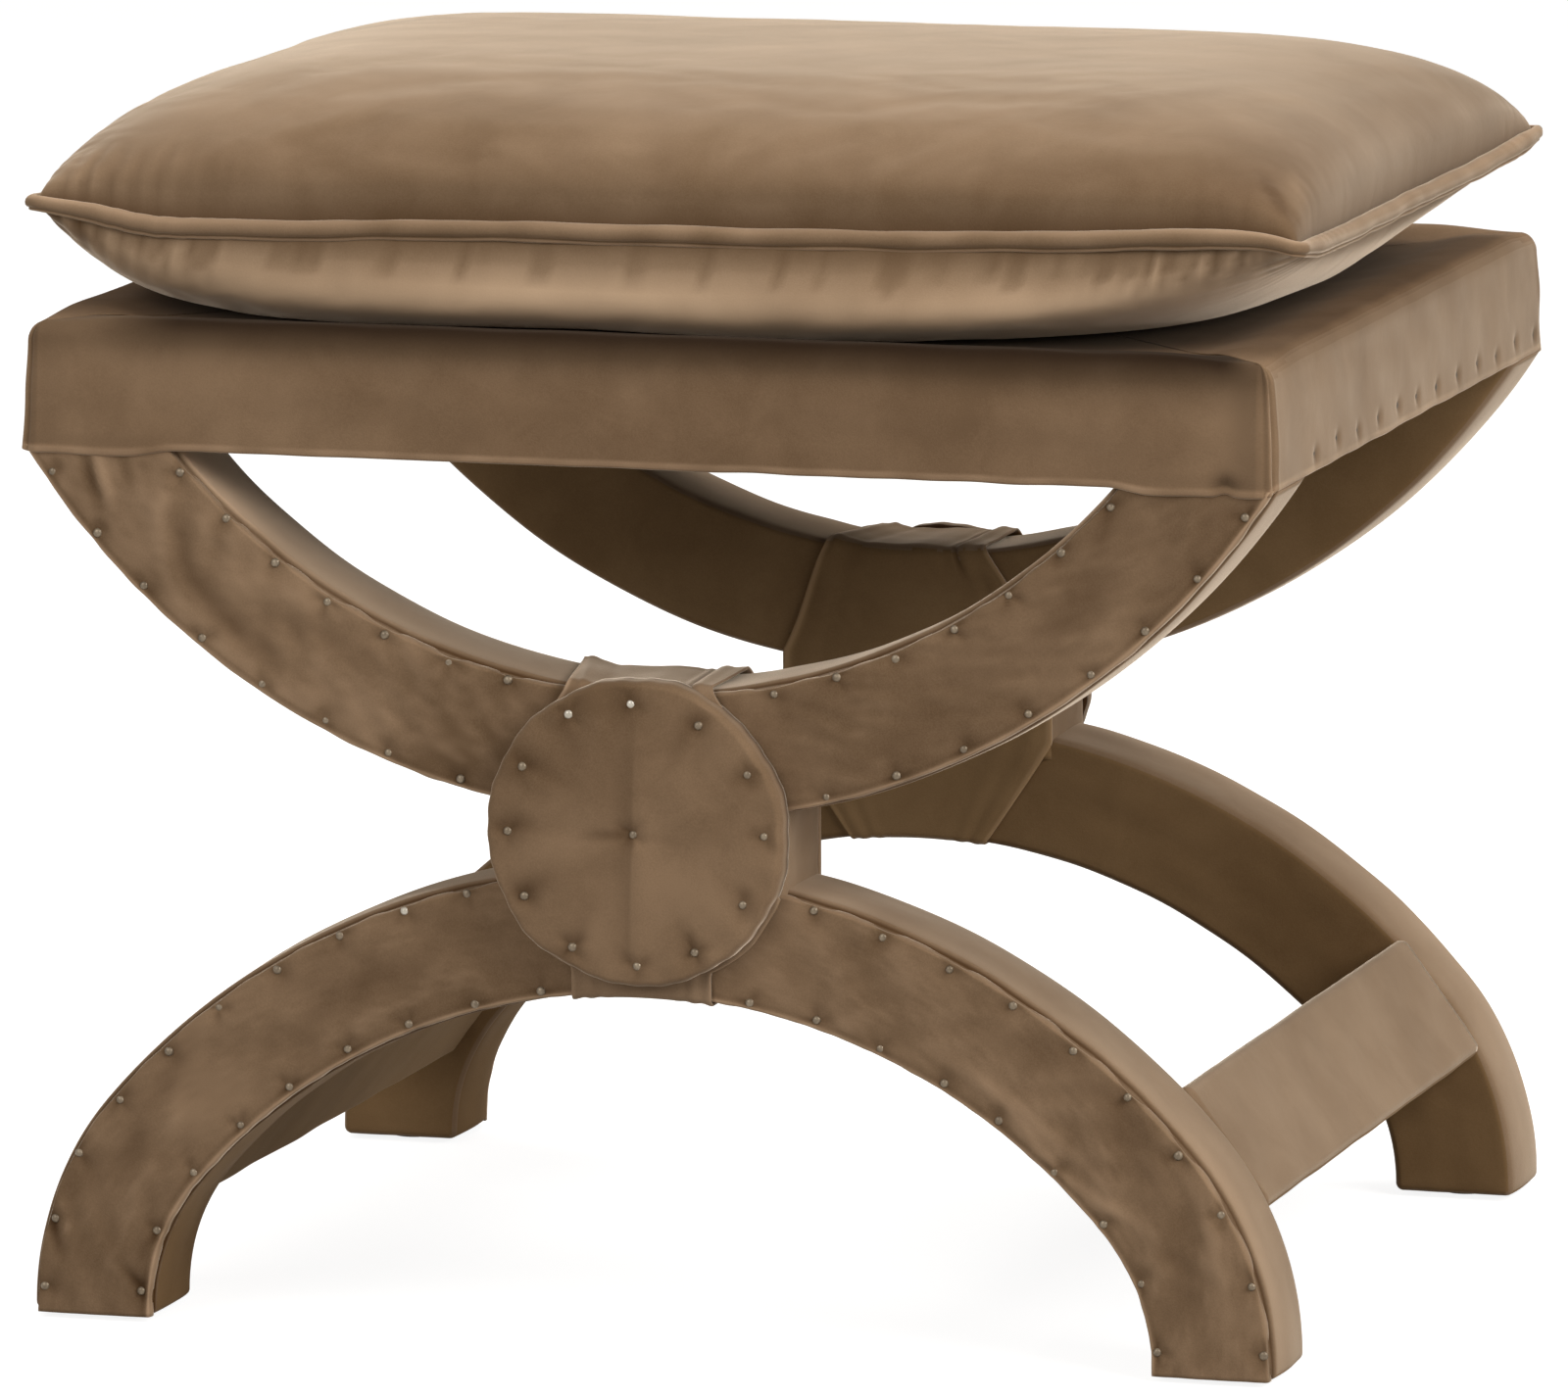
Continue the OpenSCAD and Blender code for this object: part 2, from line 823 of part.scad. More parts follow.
module board_screws() {
    color(steel)
        board_screw_places() screw(board_t + board_screw_grip);
}

module deck_bolts() {
    color(steel) {
        bolt_places() deck_bolt();
        at_back() bolt_places() deck_bolt();
    }
}

module deck_foam() {
    color(foam)
        difference() {
            translate([0, 0, deck_under])
                linear_extrude(height = deck_t - velvet_t)
                    rounded_plate(half_w - velvet_t, deck_half_d - velvet_t, deck_corner_r - velvet_t);
            wood_block(deck_under - overrun, board_top);
        }
}

module deck_cover() {
    color(velvet)
        difference() {
            translate([0, 0, deck_under])
                linear_extrude(height = deck_t)
                    rounded_plate(half_w, deck_half_d, deck_corner_r);
            translate([0, 0, deck_under - overrun])
                linear_extrude(height = deck_t - velvet_t + overrun)
                    rounded_plate(half_w - velvet_t, deck_half_d - velvet_t, deck_corner_r - velvet_t);
        }
}

module dust_cover() {
    arm_x = arm_in_x - velvet_t;
    arm_y = -inner_y - velvet_t;
    color(cambric)
        translate([0, 0, deck_under - dust_cover_t])
            linear_extrude(height = dust_cover_t) {
                square([2 * (half_w - dust_cover_in), 2 * arm_y], center = true);
                square([2 * arm_x, 2 * (deck_half_d - dust_cover_in)], center = true);
            }
}

module hem_nails() {
    y0 = hem_front - deck_half_d;
    y1 = deck_half_d - hem_back;
    n = max(1, round((y1 - y0) / hem_pitch));
    color(pewter)
        for (side = [-1, 1], i = [0:n])
            translate([side * half_w, y0 + (y1 - y0) * i / n, deck_under + hem_up])
                rotate([0, side * 90, 0])
                    nail();
}

module foot_glides() {
    color(nylon)
        glide_places()
            rotate_extrude()
                polygon([
                    [0, 0],
                    [glide_d / 2 - glide_bevel, 0],
                    [glide_d / 2, glide_bevel],
                    [glide_d / 2, glide_t],
                    [glide_nail_d / 2, glide_t],
                    [glide_nail_d / 2, glide_t + glide_nail_len - glide_nail_d],
                    [0, glide_t + glide_nail_len]
                ]);
}

// Cushion: a grid of places, closer together towards the seam
function spread(i, n) = sin(90 * (2 * i / n - 1));
function puff(u, v) =
    pow((1 - pow(abs(u), puff_power_share)) * (1 - pow(abs(v), puff_power_share)), puff_round_share);
function plan(u, v) = [
    u * (cushion_half_w - side_pinch * (1 - v * v)),
    v * (cushion_half_d - side_pinch * (1 - u * u))
];
function seam_at(u, v) = seam_z + corner_lift * pow(abs(u * v), lift_power_share);
function lining_top(u, v) = seam_at(u, v) + puff(u, v) * (crown_t - velvet_t);
function lining_low(u, v) =
    max(belly_z, seam_at(u, v) - puff(u, v) * (seam_z - belly_z) * belly_share);
function at_height(u, v, z) = concat(plan(u, v), [z]);

// Grids that leave out a number of rings of cells at the edge
function grid_top(skip, lift) = [
    for (i = [skip:cells_w - skip], j = [skip:cells_d - skip])
        let (u = spread(i, cells_w), v = spread(j, cells_d))
        at_height(u, v, lining_top(u, v) + lift)
];
function grid_low(skip, drop) = [
    for (i = [skip:cells_w - skip], j = [skip:cells_d - skip])
        let (u = spread(i, cells_w), v = spread(j, cells_d))
        at_height(u, v, lining_low(u, v) - drop)
];

// A closed solid between two grids of the same size
module between_grids(top, low, a, b) {
    n = (a + 1) * (b + 1);
    row = b + 1;
    lids = [
        for (i = [0:a - 1], j = [0:b - 1])
            let (p = i * row + j, q = p + row)
            each [
                [p, p + 1, q + 1], [p, q + 1, q],
                [p + n, q + 1 + n, p + 1 + n], [p + n, q + n, q + 1 + n]
            ]
    ];
    long_sides = [
        for (i = [0:a - 1])
            let (p = i * row, q = p + row, r = p + b, s = q + b)
            each [[p, q, q + n], [p, q + n, p + n], [r, s + n, s], [r, r + n, s + n]]
    ];
    short_sides = [
        for (j = [0:b - 1])
            let (p = j, q = j + 1, r = a * row + j, s = r + 1)
            each [[q, p, p + n], [q, p + n, q + n], [r, s, s + n], [r, s + n, r + n]]
    ];
    polyhedron(points = concat(top, low), faces = concat(lids, long_sides, short_sides));
}

module cushion_insert() {
    color(wadding)
        between_grids(grid_top(1, 0), grid_low(1, 0), cells_w - 2, cells_d - 2);
}

module cushion_top() {
    color(velvet_light)
        between_grids(grid_top(0, velvet_t), grid_top(0, 0), cells_w, cells_d);
}

module cushion_bottom() {
    color(velvet)
        between_grids(grid_low(0, 0), grid_low(0, velvet_t), cells_w, cells_d);
}

// Places round the cushion's rim, counted anticlockwise from the front left corner
function rim_uv(k) =
    let (m = (k + rim_n) % rim_n)
    m < cells_w ? [spread(m, cells_w), -1]
    : m < cells_w + cells_d ? [1, spread(m - cells_w, cells_d)]
    : m < 2 * cells_w + cells_d ? [spread(2 * cells_w + cells_d - m, cells_w), 1]
    : [-1, spread(rim_n - m, cells_d)];
function rim_plan(k) = let (uv = rim_uv(k)) plan(uv[0], uv[1]);
function rim_out(k) =
    let (t = rim_plan(k + 1) - rim_plan(k - 1))
    [t[1], -t[0]] / norm(t);

module cushion_piping() {
    points = [
        for (k = [0:rim_n - 1], s = [0:piping_sides - 1])
            let (
                uv = rim_uv(k),
                sweep = 360 - 2 * piping_gap_angle,
                a = 180 + piping_gap_angle + sweep * s / (piping_sides - 1),
                p = rim_plan(k) + rim_out(k) * (piping_out + piping_r * cos(a))
            )
            concat(p, [seam_at(uv[0], uv[1]) + piping_r * sin(a)])
    ];
    faces = [
        for (k = [0:rim_n - 1], s = [0:piping_sides - 1])
            let (
                p = k * piping_sides,
                q = ((k + 1) % rim_n) * piping_sides,
                t = (s + 1) % piping_sides
            )
            each [[p + s, p + t, q + t], [p + s, q + t, q + s]]
    ];
    color(velvet_light)
        polyhedron(points = points, faces = faces);
}

front_upper_core();
front_upper_wadding();
front_upper_wrap();
front_upper_face();
front_upper_nails();
front_lower_core();
front_lower_wadding();
front_lower_wrap();
front_lower_face();
front_lower_nails();
back_upper_core();
back_upper_wadding();
back_upper_wrap();
back_upper_face();
back_upper_nails();
back_lower_core();
back_lower_wadding();
back_lower_wrap();
back_lower_face();
back_lower_nails();
front_hub_block();
front_hub_wadding();
front_hub_wrap();
front_medallion_board();
front_medallion_wadding();
front_medallion_cover();
front_medallion_nails();
back_hub_block();
back_hub_wadding();
back_hub_wrap();
back_medallion_board();
back_medallion_wadding();
back_medallion_cover();
back_medallion_nails();
medallion_screws();
dowels();
left_stretcher_core();
left_stretcher_wadding();
left_stretcher_cover();
right_stretcher_core();
right_stretcher_wadding();
right_stretcher_cover();
stretcher_screws();
front_rail();
back_rail();
left_rail();
right_rail();
corner_blocks();
deck_board();
board_screws();
deck_bolts();
deck_foam();
deck_cover();
dust_cover();
hem_nails();
foot_glides();
cushion_insert();
cushion_top();
cushion_bottom();
cushion_piping();
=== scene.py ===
"""Looks of the X-frame ottoman: velvet covers, nailed panels, a loose piped cushion and a plain studio."""
import json
import math

import bpy
import bmesh
import numpy as np
from mathutils import Matrix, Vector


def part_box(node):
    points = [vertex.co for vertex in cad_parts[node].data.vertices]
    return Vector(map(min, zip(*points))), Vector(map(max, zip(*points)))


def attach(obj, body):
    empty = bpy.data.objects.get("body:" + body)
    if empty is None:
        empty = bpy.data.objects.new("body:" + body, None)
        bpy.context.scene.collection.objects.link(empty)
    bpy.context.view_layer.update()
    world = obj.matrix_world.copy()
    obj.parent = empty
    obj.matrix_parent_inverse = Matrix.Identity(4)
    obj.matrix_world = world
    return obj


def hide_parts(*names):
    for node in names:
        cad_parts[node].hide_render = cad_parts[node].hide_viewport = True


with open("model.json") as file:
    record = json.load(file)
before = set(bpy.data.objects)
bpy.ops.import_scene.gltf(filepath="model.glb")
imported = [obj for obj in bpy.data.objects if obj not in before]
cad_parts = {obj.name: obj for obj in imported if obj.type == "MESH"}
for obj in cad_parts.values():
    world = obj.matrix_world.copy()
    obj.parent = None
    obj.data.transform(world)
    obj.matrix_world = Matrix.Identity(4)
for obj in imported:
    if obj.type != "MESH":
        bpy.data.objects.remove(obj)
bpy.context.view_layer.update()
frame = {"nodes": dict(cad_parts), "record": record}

# Driving sizes that the frame's boxes don't give, in metres
MM = 0.001
LOWER_W = 52 * MM
UPPER_W = 53.5 * MM
HAUNCH_R = 84 * MM
LEG_STRAIGHT = 2.5 * MM
VELVET_T = 1.2 * MM
HUB_HALF = 61.3 * MM
WRAP_TOP_HALF = 31 * MM
WRAP_BOTTOM_HALF = 30 * MM
MEDALLION_R = 65 * MM
NAIL_INSET = 6 * MM
NAIL_PITCH = 30 * MM
NAIL_GAP = 16 * MM
NAIL_END = 10 * MM
MEDALLION_NAILS = 12
MEDALLION_NAIL_INSET = 10 * MM
STRETCHER_W = 60 * MM
STRETCHER_T = 45 * MM
STRETCHER_TILT = math.radians(36)

# Places taken from the frame
deck_low, deck_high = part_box("deck_cover")
face_low, face_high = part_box("front_lower_face")
disc_low, disc_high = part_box("front_medallion_cover")
HALF_W = deck_high.x
DECK_HALF_D = deck_high.y
DECK_UNDER = deck_low.z
DECK_TOP = deck_high.z
FACE_Y = face_low.y
INNER_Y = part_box("front_lower_wrap")[1].y
FOOT_Z = face_low.z
CROWN_TOP = face_high.z
UPPER_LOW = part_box("front_upper_face")[0].z
MEDALLION_Z = (disc_low.z + disc_high.z) / 2
MEDALLION_FRONT = disc_low.y
MEDALLION_BACK = disc_high.y

CROWN_H = CROWN_TOP - LOWER_W
HAUNCH_Z = FOOT_Z + LEG_STRAIGHT
HAUNCH_X = HALF_W - LOWER_W - HAUNCH_R
HAUNCH_RISE = CROWN_H - HAUNCH_Z
CROWN_R = (HAUNCH_X ** 2 + HAUNCH_RISE ** 2 - HAUNCH_R ** 2) / (2 * (HAUNCH_RISE - HAUNCH_R))
CROWN_Z = CROWN_H - CROWN_R
JOIN = math.atan2(HAUNCH_X, HAUNCH_Z - CROWN_Z)
UPPER_RISE = DECK_UNDER - UPPER_LOW
UPPER_RO = (HALF_W ** 2 + UPPER_RISE ** 2) / (2 * UPPER_RISE)
UPPER_RI = UPPER_RO - UPPER_W
UPPER_Z = UPPER_LOW + UPPER_RO
CROWN_RUN = (CROWN_R + LOWER_W / 2) * JOIN
HAUNCH_RUN = (HAUNCH_R + LOWER_W / 2) * (math.pi / 2 - JOIN)
LOWER_RUN = 2 * (CROWN_RUN + HAUNCH_RUN + LEG_STRAIGHT)
UPPER_RUN = 2 * (UPPER_RI + UPPER_W / 2) * math.acos((UPPER_Z - DECK_UNDER) / (UPPER_RI + UPPER_W / 2))


# Materials

def add(tree, kind, **settings):
    """A node with its properties set, and its inputs set or linked by name."""
    node = tree.nodes.new(kind)
    for name, value in settings.items():
        if name.startswith("p_"):
            setattr(node, name[2:], value)
    for name, value in settings.items():
        if name.startswith("p_"):
            continue
        place = int(name[1:]) if name[0] == "i" and name[1:].isdigit() else name.replace("_", " ")
        if isinstance(value, bpy.types.NodeSocket):
            tree.links.new(value, node.inputs[place])
        else:
            node.inputs[place].default_value = value
    return node


def surface(name, **settings):
    """A new material, its node tree, its Principled shader and the place on the object."""
    material = bpy.data.materials.new(name)
    material.use_nodes = True
    tree = material.node_tree
    shader = tree.nodes["Principled BSDF"]
    for key, value in settings.items():
        shader.inputs[key.replace("_", " ")].default_value = value
    return material, tree, shader, add(tree, "ShaderNodeTexCoord").outputs["Object"]


def blend_colour(tree, factor, a, b, how="MIX"):
    return add(tree, "ShaderNodeMix", p_data_type="RGBA", p_blend_type=how, i0=factor, i6=a, i7=b).outputs[2]


def ramp(tree, factor, stops):
    """Runs from one colour to another between two values of the factor."""
    node = add(tree, "ShaderNodeValToRGB", Fac=factor)
    for element, (place, colour) in zip(node.color_ramp.elements, stops):
        element.position = place
        element.color = (*colour, 1)
    return node.outputs["Color"]


def math_node(tree, how, a, b, c=0.5):
    return add(tree, "ShaderNodeMath", p_operation=how, i0=a, i1=b, i2=c).outputs[0]


def noise(tree, place, scale, detail, roughness=0.5, distortion=0.0):
    """Cloudy unevenness from 0 to 1."""
    return add(tree, "ShaderNodeTexNoise", Vector=place, Scale=scale, Detail=detail, Roughness=roughness,
               Distortion=distortion).outputs[0]


def wave(tree, place, direction, scale, distortion):
    """Bands across one direction, from 0 to 1."""
    return add(tree, "ShaderNodeTexWave", p_bands_direction=direction, Vector=place, Scale=scale,
               Distortion=distortion).outputs["Fac"]


def finish(tree, shader, colour, strength, distance, height, **more):
    """Gives a shader its colour and its relief."""
    tree.links.new(colour, shader.inputs["Base Color"])
    relief = add(tree, "ShaderNodeBump", Strength=strength, Distance=distance, Height=height, **more)
    tree.links.new(relief.outputs[0], shader.inputs["Normal"])


def velvet(name, dark, light, sheen=1.0, deep=(0.28, 0.18, 0.07)):
    """Cotton velvet: cloudy brushed pile, fine fibres and a soft sheen, with painted shade and painted
    highlights mixed in from each point's shading value.
    """
    material, tree, shader, place = surface(
        name, Roughness=0.9, Specular_IOR_Level=0.08, Sheen_Weight=sheen, Sheen_Roughness=0.34,
        Sheen_Tint=(1.0, 0.85, 0.69, 1))
    clouds = noise(tree, place, 8, 2, 0.5, 0.3)
    marks = noise(tree, place, 34, 3, 0.55, 0.4)
    pile = noise(tree, place, 1400, 2, 0.7)
    tone = math_node(tree, "MULTIPLY", clouds, 0.5)
    tone = math_node(tree, "MULTIPLY_ADD", marks, 0.3, tone)
    tone = math_node(tree, "MULTIPLY_ADD", pile, 0.2, tone)
    colour = ramp(tree, tone, [(0.38, dark), (0.62, light)])
    # The shading value painted on each point: below 0 a painted highlight lightens towards bright, above 0
    # painted shade darkens towards shade, with deep setting how dark.
    painted_shading = add(tree, "ShaderNodeAttribute", p_attribute_name="painted_shading").outputs["Fac"]
    painted_highlight = math_node(tree, "MULTIPLY", painted_shading, -1.0)
    shade = tuple(k * x for k, x in zip(deep, dark))
    bright = tuple(min(1.0, 1.9 * x + 0.05) for x in light)
    colour = blend_colour(tree, painted_highlight, colour, (*bright, 1))
    colour = blend_colour(tree, painted_shading, colour, (*shade, 1))
    fibre = add(tree, "ShaderNodeBump", Strength=0.12, Distance=0.0006, Height=pile)
    finish(tree, shader, colour, 0.10, 0.002, marks, Normal=fibre.outputs[0])
    return material


def wood(name, dark, light, rings, layers=0):
    """Plain timber grain, or plywood where layers gives the scale of its bands."""
    material, tree, shader, place = surface(name, Roughness=0.6, Specular_IOR_Level=0.35)
    along = add(tree, "ShaderNodeMapping", Vector=place, Scale=(1, 9, 9)).outputs[0]
    grain = noise(tree, along, rings, 6, 0.65, 1.2)
    colour = ramp(tree, grain, [(0.3, dark), (0.7, light)])
    if layers:
        colour = blend_colour(tree, wave(tree, place, "Z", layers, 0.3), colour, (*dark, 1), "MULTIPLY")
    finish(tree, shader, colour, 0.3, 0.0004, grain)
    return material


def metal(name, dark, light, roughness, metallic=1.0, blotch=60):
    """Brushed or tarnished metal with small scratches and blotches."""
    material, tree, shader, place = surface(name, Metallic=metallic, Roughness=roughness)
    spots = noise(tree, place, blotch, 3, 0.6)
    scratches = noise(tree, place, 1800, 2)
    finish(tree, shader, ramp(tree, spots, [(0.38, dark), (0.66, light)]), 0.15, 0.0002, scratches)
    return material


def fluffy(name, dark, light, scale, strength):
    """Wadding, foam, filling or plastic: a matt, cellular or fibrous surface."""
    material, tree, shader, place = surface(name, Roughness=0.95, Specular_IOR_Level=0.1)
    cells = noise(tree, place, scale, 5, 0.7)
    finish(tree, shader, ramp(tree, cells, [(0.35, dark), (0.65, light)]), strength, 0.001, cells)
    return material


def woven(name, dark, light, threads):
    """A thin bonded or woven cloth, with its threads across and along."""
    material, tree, shader, place = surface(name, Roughness=0.9, Specular_IOR_Level=0.15)
    across, along = (wave(tree, place, way, threads, 1.5) for way in "XY")
    weave = math_node(tree, "ADD", across, along)
    half = math_node(tree, "MULTIPLY", weave, 0.5)
    finish(tree, shader, ramp(tree, half, [(0.2, dark), (0.8, light)]), 0.4, 0.0003, weave)
    return material


VELVET_FACE = velvet("velvet_face", (0.160, 0.099, 0.054), (0.290, 0.190, 0.114))
# Lighter than the faces' velvet: partly the pile lying another way, partly painted light for the bands that
# catch the light.
VELVET_BAND = velvet("velvet_band", (0.235, 0.152, 0.090), (0.335, 0.230, 0.147))
DECK_TONES = (0.175, 0.108, 0.060), (0.272, 0.177, 0.105)
# A darker painted-shade colour for the deck, used for the cushion's painted shadow on it.
DECK_PAINTED_SHADOW_TINT = (0.055, 0.032, 0.008)
VELVET_DECK = velvet("velvet_deck", *DECK_TONES, deep=DECK_PAINTED_SHADOW_TINT)
# Copies of the deck velvet with less sheen for its top: they stand in for the cushion's shade there, and
# partly for the crushed pile.
VELVET_DECK_STEPS = [velvet(f"velvet_deck_{name}", *DECK_TONES, sheen, DECK_PAINTED_SHADOW_TINT)
                     for name, sheen in (("edge", 0.65), ("near", 0.35), ("top", 0.05))]
VELVET_CUSHION = velvet("velvet_cushion", (0.175, 0.110, 0.061), (0.262, 0.174, 0.106))
# Lighter than the top's velvet: partly the pile lying another way, partly a painted sheen for the underside
# seen edge-on.
VELVET_UNDER_NAP_AND_SHEEN = velvet("velvet_underside", (0.250, 0.165, 0.098), (0.345, 0.238, 0.150))
# A darker, warmer copy of the band velvet with little sheen: painted shade on faces that look into the frame,
# under the arches and under the stretchers.
VELVET_PAINTED_SHADE = velvet("velvet_painted_shade", (0.205, 0.124, 0.058), (0.290, 0.182, 0.090), sheen=0.12)
NAIL_DULL = metal("nail_dull", (0.150, 0.112, 0.072), (0.260, 0.205, 0.140), 0.36, metallic=0.4, blotch=300)
# Darker nails for the hem: painted shade for nails sunk into the cloth.
NAIL_DARK = metal("nail_dark", (0.060, 0.042, 0.026), (0.130, 0.098, 0.066), 0.5, metallic=0.3, blotch=300)
# Lighter nails: a painted glint for the few that shine.
NAIL_BRIGHT = metal("nail_bright", (0.42, 0.38, 0.31), (0.60, 0.56, 0.48), 0.3, metallic=0.4, blotch=300)
STEEL = metal("steel", (0.42, 0.43, 0.45), (0.60, 0.61, 0.63), 0.38)
TIMBER = wood("timber", (0.36, 0.22, 0.11), (0.62, 0.43, 0.25), 16)
PLYWOOD = wood("plywood", (0.46, 0.32, 0.18), (0.68, 0.52, 0.34), 14, layers=160)
WADDING = fluffy("wadding", (0.72, 0.70, 0.64), (0.86, 0.85, 0.80), 260, 0.6)
FILLING = fluffy("filling", (0.74, 0.72, 0.66), (0.88, 0.87, 0.82), 190, 0.7)
FOAM = fluffy("foam", (0.62, 0.54, 0.30), (0.78, 0.70, 0.44), 700, 0.5)
NYLON = fluffy("nylon", (0.030, 0.026, 0.022), (0.060, 0.052, 0.045), 300, 0.15)
CAMBRIC = woven("cambric", (0.010, 0.010, 0.011), (0.032, 0.032, 0.034), 380)
SLOT_MATERIALS = {
    "velvet": VELVET_FACE, "timber": TIMBER, "plywood": PLYWOOD, "wadding": WADDING, "foam": FOAM,
    "cushion_filling": FILLING, "cambric": CAMBRIC, "nail_metal": NAIL_DULL, "steel": STEEL, "nylon": NYLON,
}


def finish_cad_nodes():
    """Each CAD node gets the finish of its slot."""
    for part in frame["record"]["subparts"]:
        mesh = frame["nodes"][part["node"]].data
        mesh.materials.clear()
        mesh.materials.append(SLOT_MATERIALS[part["material_slot"]])


# Meshes from grids of points

def linked(name, data):
    """A new object in the scene for a mesh, a lamp or a camera."""
    obj = bpy.data.objects.new(name, data)
    bpy.context.scene.collection.objects.link(obj)
    return obj


def new_mesh(name, points, faces):
    """A mesh with smooth shading."""
    mesh = bpy.data.meshes.new(name)
    mesh.from_pydata(points, [], faces)
    mesh.polygons.foreach_set("use_smooth", [True] * len(mesh.polygons))
    return mesh


def add_painted_shading(mesh, tones):
    """The painted shading at each point that the velvet reads: towards 1 for painted shade, towards -1 for a
    painted highlight.
    """
    mesh.attributes.new("painted_shading", "FLOAT", "POINT").data.foreach_set("value", tones)


def grid_faces(rows, columns, wrap_rows, wrap_columns, start):
    """Quads over a grid of rows x columns points that begins at number start."""
    i = np.arange(rows if wrap_rows else rows - 1)[:, None]
    j = np.arange(columns if wrap_columns else columns - 1)[None, :]
    down, right = (i + 1) % rows, (j + 1) % columns
    corners = [i * columns + j, i * columns + right, down * columns + right, down * columns + j]
    return (np.stack([c + np.zeros_like(i * j) for c in corners], -1).reshape(-1, 4) + start).tolist()


def build(name, shells, material, body="base", replaces=(), second=None):
    """One smooth mesh object from shells: dicts with points (rows, columns, 3), wrap, finish and painted
    shading.
    """
    points, faces, folds, layers = [], [], [], []
    start = 0
    for shell in shells:
        grid = shell["points"]
        rows, columns = grid.shape[:2]
        wrap_rows, wrap_columns = shell.get("wrap", (False, True))
        faces += grid_faces(rows, columns, wrap_rows, wrap_columns, start)
        if not wrap_rows:
            faces.append([start + j for j in range(columns)][::-1])
            faces.append([start + (rows - 1) * columns + j for j in range(columns)])
        layers += [shell.get("finish", 0)] * (len(faces) - len(layers))
        points.append(grid.reshape(-1, 3))
        folds.append(np.broadcast_to(shell.get("painted_shading", 0.0), (rows, columns)).reshape(-1))
        start += rows * columns
    mesh = new_mesh(name, np.concatenate(points).tolist(), faces)
    add_painted_shading(mesh, np.clip(np.concatenate(folds), -1, 1).astype(np.float32))
    mesh.polygons.foreach_set("material_index", layers)
    edit = bmesh.new()
    edit.from_mesh(mesh)
    bmesh.ops.recalc_face_normals(edit, faces=edit.faces)
    edit.to_mesh(mesh)
    edit.free()
    for layer in (material, second):
        if layer:
            mesh.materials.append(layer)
    obj = linked(name, mesh)
    declare(obj, body, replaces)
    return obj


def declare(obj, body, replaces):
    """Says which body a piece rides and the nodes it stands for."""
    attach(obj, body)
    if replaces:
        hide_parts(*replaces)


def spaced(length, step):
    """Even shares from 0 to 1 along a length, about a step apart."""
    return np.linspace(0, 1, max(2, int(round(length / step)) + 1))


def bell(x, width):
    """1 where x is 0, falling smoothly to nothing a few widths away."""
    return np.exp(-(x / width) ** 2)


def ripple(a, b, seed, wave):
    """Smooth unevenness from -1 to 1 over two lengths, the same each run."""
    rng = np.random.default_rng(seed)
    total = np.zeros(np.broadcast(a, b).shape)
    for _ in range(7):
        turn, phase = rng.uniform(0, math.tau, 2)
        pull = rng.uniform(0.7, 1.7) * math.tau / wave
        total = total + np.sin(pull * (a * math.cos(turn) + b * math.sin(turn)) + phase)
    return total / 4


def rounded_loop(x0, x1, y0, y1, radius, step, corner_points=5):
    """A closed loop round a rectangle, with its outward normals, as (x, y, nx, ny) columns."""
    out = []
    corners = [(x1, y1, 0), (x0, y1, 90), (x0, y0, 180), (x1, y0, 270)]
    for k, (cx, cy, turn) in enumerate(corners):
        ox = cx - radius if cx == x1 else cx + radius
        oy = cy - radius if cy == y1 else cy + radius
        angles = np.radians(turn + np.linspace(0, 90, corner_points))
        for a in angles:
            out.append((ox + radius * math.cos(a), oy + radius * math.sin(a), math.cos(a), math.sin(a)))
        nx, ny, nturn = corners[(k + 1) % 4]
        ex = nx - radius if nx == x1 else nx + radius
        ey = ny - radius if ny == y1 else ny + radius
        last = out[-1]
        a = math.radians(nturn)
        end = (ex + radius * math.cos(a), ey + radius * math.sin(a))
        length = math.hypot(end[0] - last[0], end[1] - last[1])
        for t in spaced(length, step)[1:-1]:
            out.append((last[0] + t * (end[0] - last[0]), last[1] + t * (end[1] - last[1]), last[2], last[3]))
    return np.array(out)


# The two arches, by the share along (0 to 1, from the left) and the distance n out from the inner curve

def upper_point(share, n):
    """A point (x, z) of the upper arch and its outward normal."""
    r = UPPER_RI + n
    a = (2 * share - 1) * np.arccos((UPPER_Z - DECK_UNDER) / r)
    return r * np.sin(a), UPPER_Z - r * np.cos(a), np.sin(a), -np.cos(a)


def lower_point(share, n):
    """A point (x, z) of the lower arch and its outward normal: crown, haunch, then leg."""
    run = (share - 0.5) * LOWER_RUN + 0 * n
    side = np.where(run >= 0, 1.0, -1.0)
    far = np.abs(run)
    crown = far / (CROWN_R + LOWER_W / 2)
    haunch = JOIN + (far - CROWN_RUN) / (HAUNCH_R + LOWER_W / 2)
    down = far - CROWN_RUN - HAUNCH_RUN
    on_crown, on_leg = far <= CROWN_RUN, down > 0
    a = np.where(on_crown, crown, np.where(on_leg, math.pi / 2, haunch))
    r = np.where(on_crown, CROWN_R, HAUNCH_R) + n
    x = np.where(on_crown, 0, HAUNCH_X) + r * np.sin(a)
    z = np.where(on_crown, CROWN_Z, HAUNCH_Z) + r * np.cos(a) - np.where(on_leg, down, 0)
    return side * x, z, side * np.sin(a), np.cos(a)


ARCHES = {
    "upper": {"at": upper_point, "width": UPPER_W, "run": UPPER_RUN},
    "lower": {"at": lower_point, "width": LOWER_W, "run": LOWER_RUN},
}


def first_angle(r, centre_z):
    """Angle from the arch's middle where a row of nails comes clear of the medallion."""
    clear = MEDALLION_R + NAIL_GAP
    z = (centre_z ** 2 - MEDALLION_Z ** 2 - r ** 2 + clear ** 2) / (2 * (centre_z - MEDALLION_Z))
    return math.acos(abs(z - centre_z) / r)


